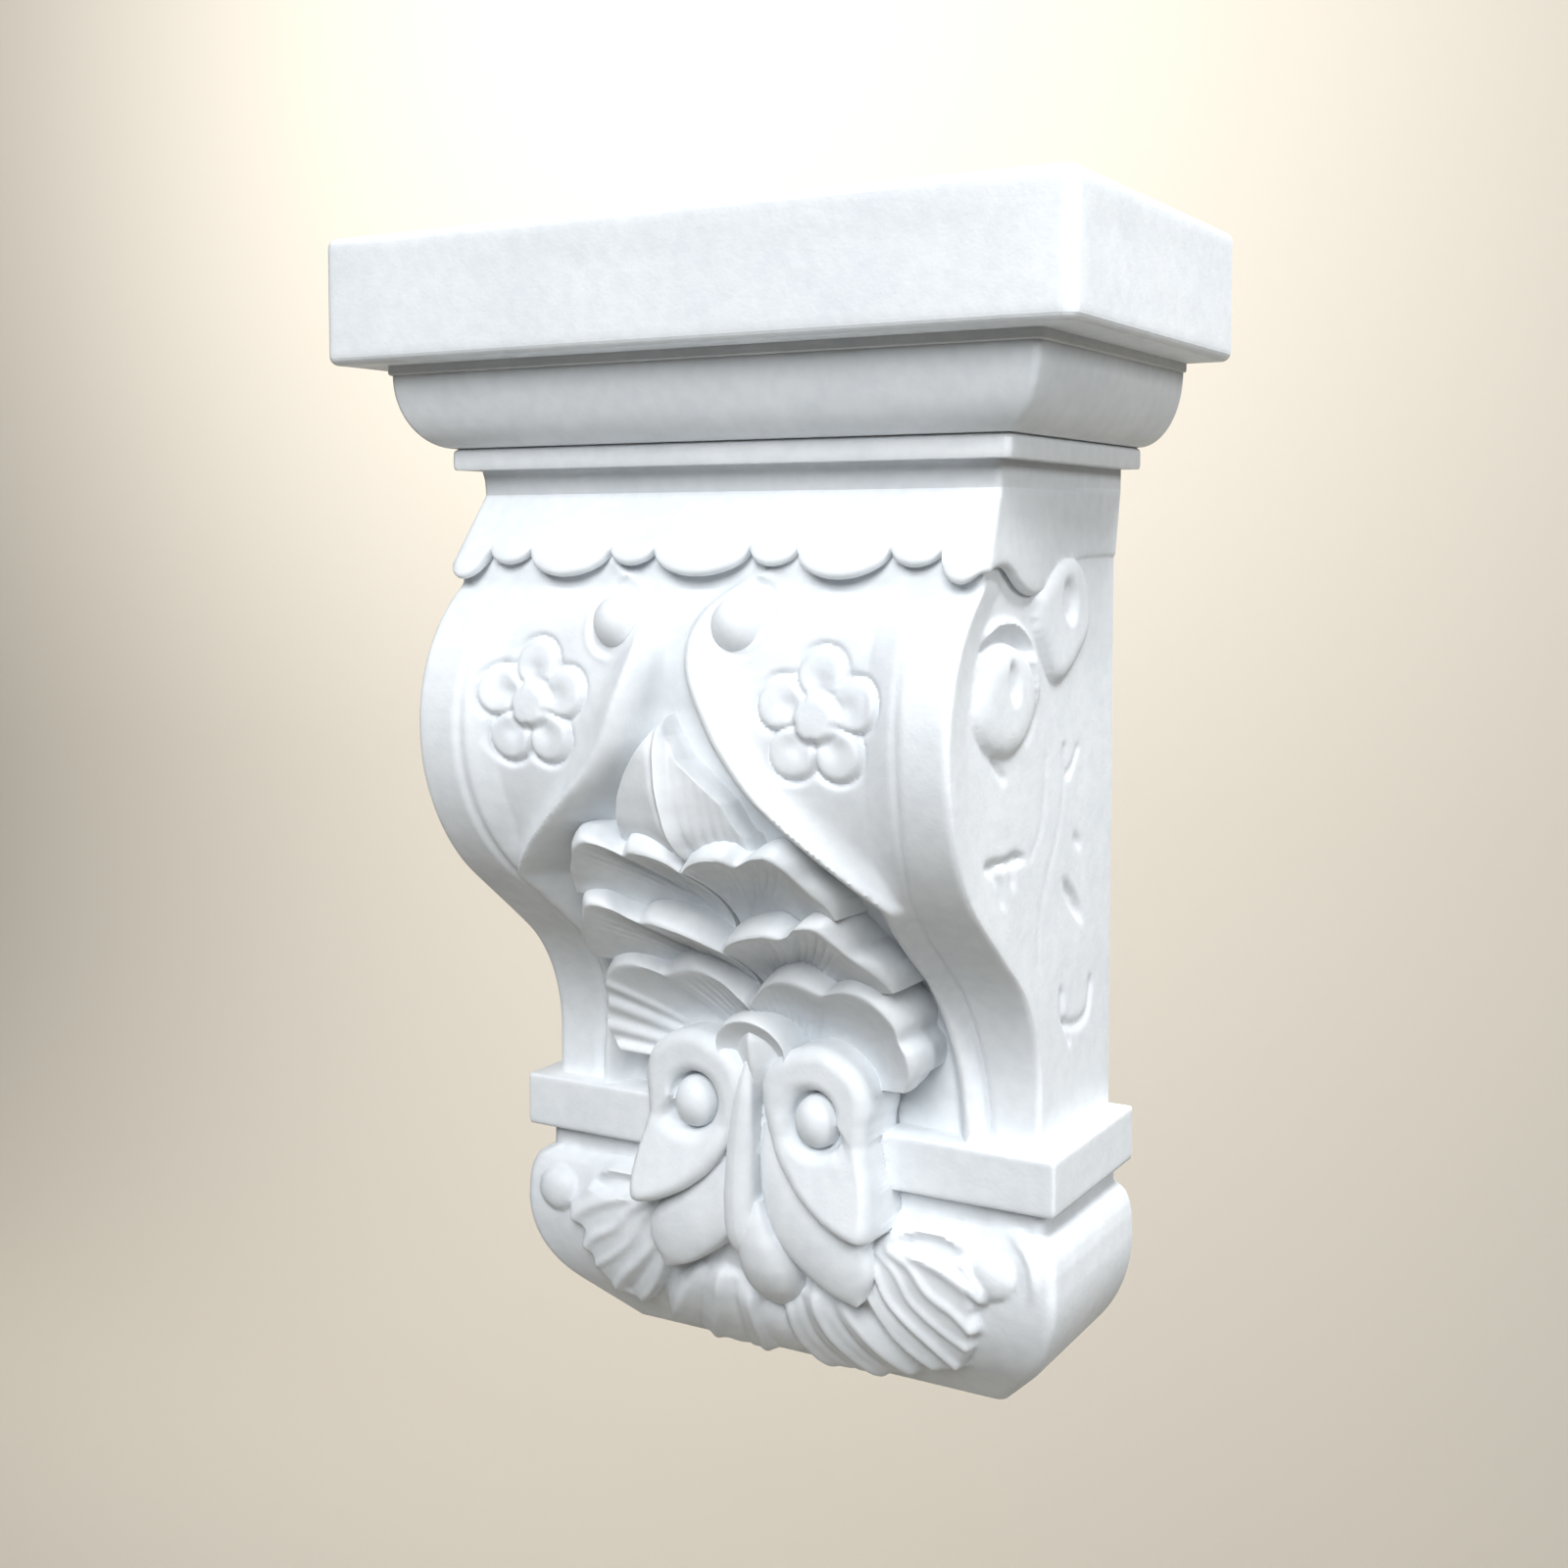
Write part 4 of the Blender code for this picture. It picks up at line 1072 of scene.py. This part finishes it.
# %% Edge curves of the lobes, as (across, depth, drop)
LOWER_LOBE = ((
    (1.5, 72, 276), (0.6, 72.5, 284), (0.9, 73, 292), (2.3, 73.5, 299.5), (4.8, 74, 306), (8.6, 74, 312.3),
    (13.2, 73.8, 317.3), (18.8, 73.5, 321.5), (25.4, 73, 325.5), (34.5, 72, 328.5),
), (
    (4, 72, 274), (9, 72.5, 281), (13.5, 73, 287), (18, 73.6, 292.5), (23, 74.2, 297.5), (28.5, 74.6, 301.5),
    (34.5, 74.8, 305.5), (39, 74.6, 310.5), (40, 73.8, 317), (36.5, 72, 326.5),
))
STEM = ((
    (-3, 76, 256), (-5.5, 76.5, 264), (-8.5, 76, 276), (-9.9, 76, 290), (-10.5, 76, 302), (-9.5, 74.5, 314),
    (-5, 71, 322),
), (
    (-1, 76, 256), (0, 76.5, 264), (0.2, 76, 276), (0, 76, 290), (0.4, 76, 302), (1.6, 74.5, 314),
    (0.5, 71, 322),
))
DROP = ((
    (0, 75, 300), (-4, 74, 308), (-6.8, 72, 315), (-7.4, 69.5, 322), (-6.2, 66, 329), (-2.2, 61, 335.5),
    (2.4, 58, 338.5),
), (
    (2, 75, 300), (6, 74, 308), (10.5, 72, 315), (13.0, 69.5, 322), (12.6, 66, 328.5), (8.5, 61, 335),
    (3.4, 58, 338.5),
))
BUD_FOLD = (
    ((-3, 74, 244.5), (-8.5, 73, 249), (-9, 72, 256), (-6, 71, 262), (-1.5, 70, 268)),
    ((1, 74, 244.5), (8.5, 73, 249), (9, 72, 256), (6, 71, 262), (0.5, 70, 268)),
)
BUD_RIM = (
    (-11.5, 77, 257, 0.5), (-12, 79, 250, 1.2), (-8, 81, 244.5, 2), (0, 82, 242, 2.4), (8, 81, 244.5, 1.8),
    (12, 79, 250, 1.0), (11.5, 77, 257, 0.5),
)
print("points along a lower lobe:", len(LOWER_LOBE[0]))

# %% Add the lower lobes, stem, drop and bud
lower = petal("lower_lobe", *LOWER_LOBE, 4.0, roof=0.1, back=22)
scrolls = [scroll, twin(scroll), eye, twin(eye), lower, twin(lower)]
scrolls += [
    ball("heart", (0, 60, 286), (13, 11.5, 32)),
    petal("stem", *STEM, 4.2, roof=0.15), petal("drop", *DROP, 8.0),
    leaf("bud", (0, 68, 265), BUD_RIM, rays=70, cup=1.8, rib=0.0, back=6, outer_thin=0),
    petal("bud_fold", *BUD_FOLD, 6.5, count=40, roof=1.0),
]
print("shapes in the scrolls:", len(scrolls))

# %% [markdown]
# ## Joining the shapes
# The shapes overlap like clay laid on clay. Each group is joined into one closed skin, relaxed a little so that
# no knife edge is left where two shapes cross, and cut flat. The body stops 0.3 mm short of the wall, so that
# its back doesn't lie in the same plane as the backs of the cap and the foot, which it overlaps.

# %% Join, soften and trim the pieces
SHY = 0.0003
body = fuse(trunk, [apron, *beads])
spray = fuse(spray[-1], spray[:-1])
spray.name = "leaves"
foot = fuse(cushion, [square, *scrolls])
for piece, shy in ((body, SHY), (spray, 0.0), (foot, 0.0)):
    soften(piece)
    trim(piece, shy)
    print(piece.name, "points:", len(piece.data.vertices))

# %% [markdown]
# ## The painted finish
# The casting is plaster under a thin brushed coat of cool white paint. A single white would look like plastic.
# So the paint drifts a little between two whites, with a finer mottling where the brush left it thin. The
# hollows are painted a shade darker and cooler as painted shade, and the sharp edges a shade paler as a painted
# highlight. The sheen varies with its own noise, and two bumps give the brushed skin and the fine grain of the
# plaster beneath. All patterns read Object coordinates, so they run on from one piece to the next.

# %% Helpers for the finish
finish = bpy.data.materials.new("painted plaster")
finish.use_nodes = True
nodes, links = finish.node_tree.nodes, finish.node_tree.links
coat = nodes["Principled BSDF"]
where = nodes.new("ShaderNodeTexCoord")


def grain(scale, detail, rough=0.5):
    """A noise with so many blotches to the metre."""
    made = nodes.new("ShaderNodeTexNoise")
    dial(made, Scale=scale, Detail=detail, Roughness=rough)
    links.new(where.outputs["Object"], made.inputs["Vector"])
    return made.outputs["Fac"]


def ramp(source, *stops):
    """Turns a grey value into colours, through stops of (value, colour)."""
    made = nodes.new("ShaderNodeValToRGB")
    ends = made.color_ramp.elements
    while len(ends) < len(stops):
        ends.new(0.5)
    for end, (position, colour) in zip(ends, stops):
        end.position, end.color = position, (*colour, 1)
    links.new(source, made.inputs["Fac"])
    return made.outputs["Color"]


def multiply(first, second):
    made = nodes.new("ShaderNodeMix")
    made.data_type, made.blend_type = "RGBA", "MULTIPLY"
    dial(made, Factor=1.0)
    links.new(first, made.inputs["A"])
    links.new(second, made.inputs["B"])
    return made.outputs["Result"]


print("finish started:", finish.name)

# %% Paint, mottling, painted shade in the hollows and painted highlight on the edges
paint = ramp(grain(26, 6, 0.6), (0.3, (0.78, 0.812, 0.838)), (0.7, (0.85, 0.874, 0.892)))
mottling = ramp(grain(210, 3), (0.35, (0.955, 0.96, 0.965)), (0.62, (1, 1, 1)))
# Painted shade and highlight: hollows (low pointiness) darker and cooler, sharp edges (high pointiness) paler
edges = nodes.new("ShaderNodeNewGeometry").outputs["Pointiness"]
painted_shade_and_highlight = ramp(
    edges, (0.42, (0.93, 0.935, 0.945)), (0.49, (1, 1, 1)), (0.53, (1, 1, 1)), (0.6, (1.05, 1.04, 1.02)),
)
links.new(multiply(multiply(paint, mottling), painted_shade_and_highlight), coat.inputs["Base Color"])
print("colour nodes:", len(nodes))

# %% Sheen and grain
sheen = ramp(grain(75, 4), (0.3, (0.43, 0.43, 0.43)), (0.7, (0.6, 0.6, 0.6)))
links.new(sheen, coat.inputs["Roughness"])
brushed, stipple = nodes.new("ShaderNodeBump"), nodes.new("ShaderNodeBump")
for bump, source, strength, height in (
    (brushed, grain(130, 4, 0.6), 0.35, 0.0006), (stipple, grain(850, 2), 0.25, 0.0002),
):
    dial(bump, Strength=strength, Distance=height)
    links.new(source, bump.inputs["Height"])
links.new(brushed.outputs["Normal"], stipple.inputs["Normal"])
links.new(stipple.outputs["Normal"], coat.inputs["Normal"])
print("nodes in the finish:", len(nodes))

# %% [markdown]
# ## Handing the pieces over
# The solid is one casting, and the cap, the body, the leaves and the foot stand for it together. Faces that
# meet at less than fifty degrees are shaded as one curve, which keeps the slab and the square band crisp. Each
# piece then gets the painted plaster, rides on the one body, and the solid's own part is hidden.

# %% Finish the pieces
for piece in (cap, body, spray, foot):
    piece.data.materials.clear()
    piece.data.materials.append(finish)
    only(piece)
    bpy.ops.object.shade_smooth_by_angle(angle=radians(50))
    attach(piece, "root")
    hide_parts("corbel")
    print(piece.name, sum(len(face.vertices) - 2 for face in piece.data.polygons), "triangles")
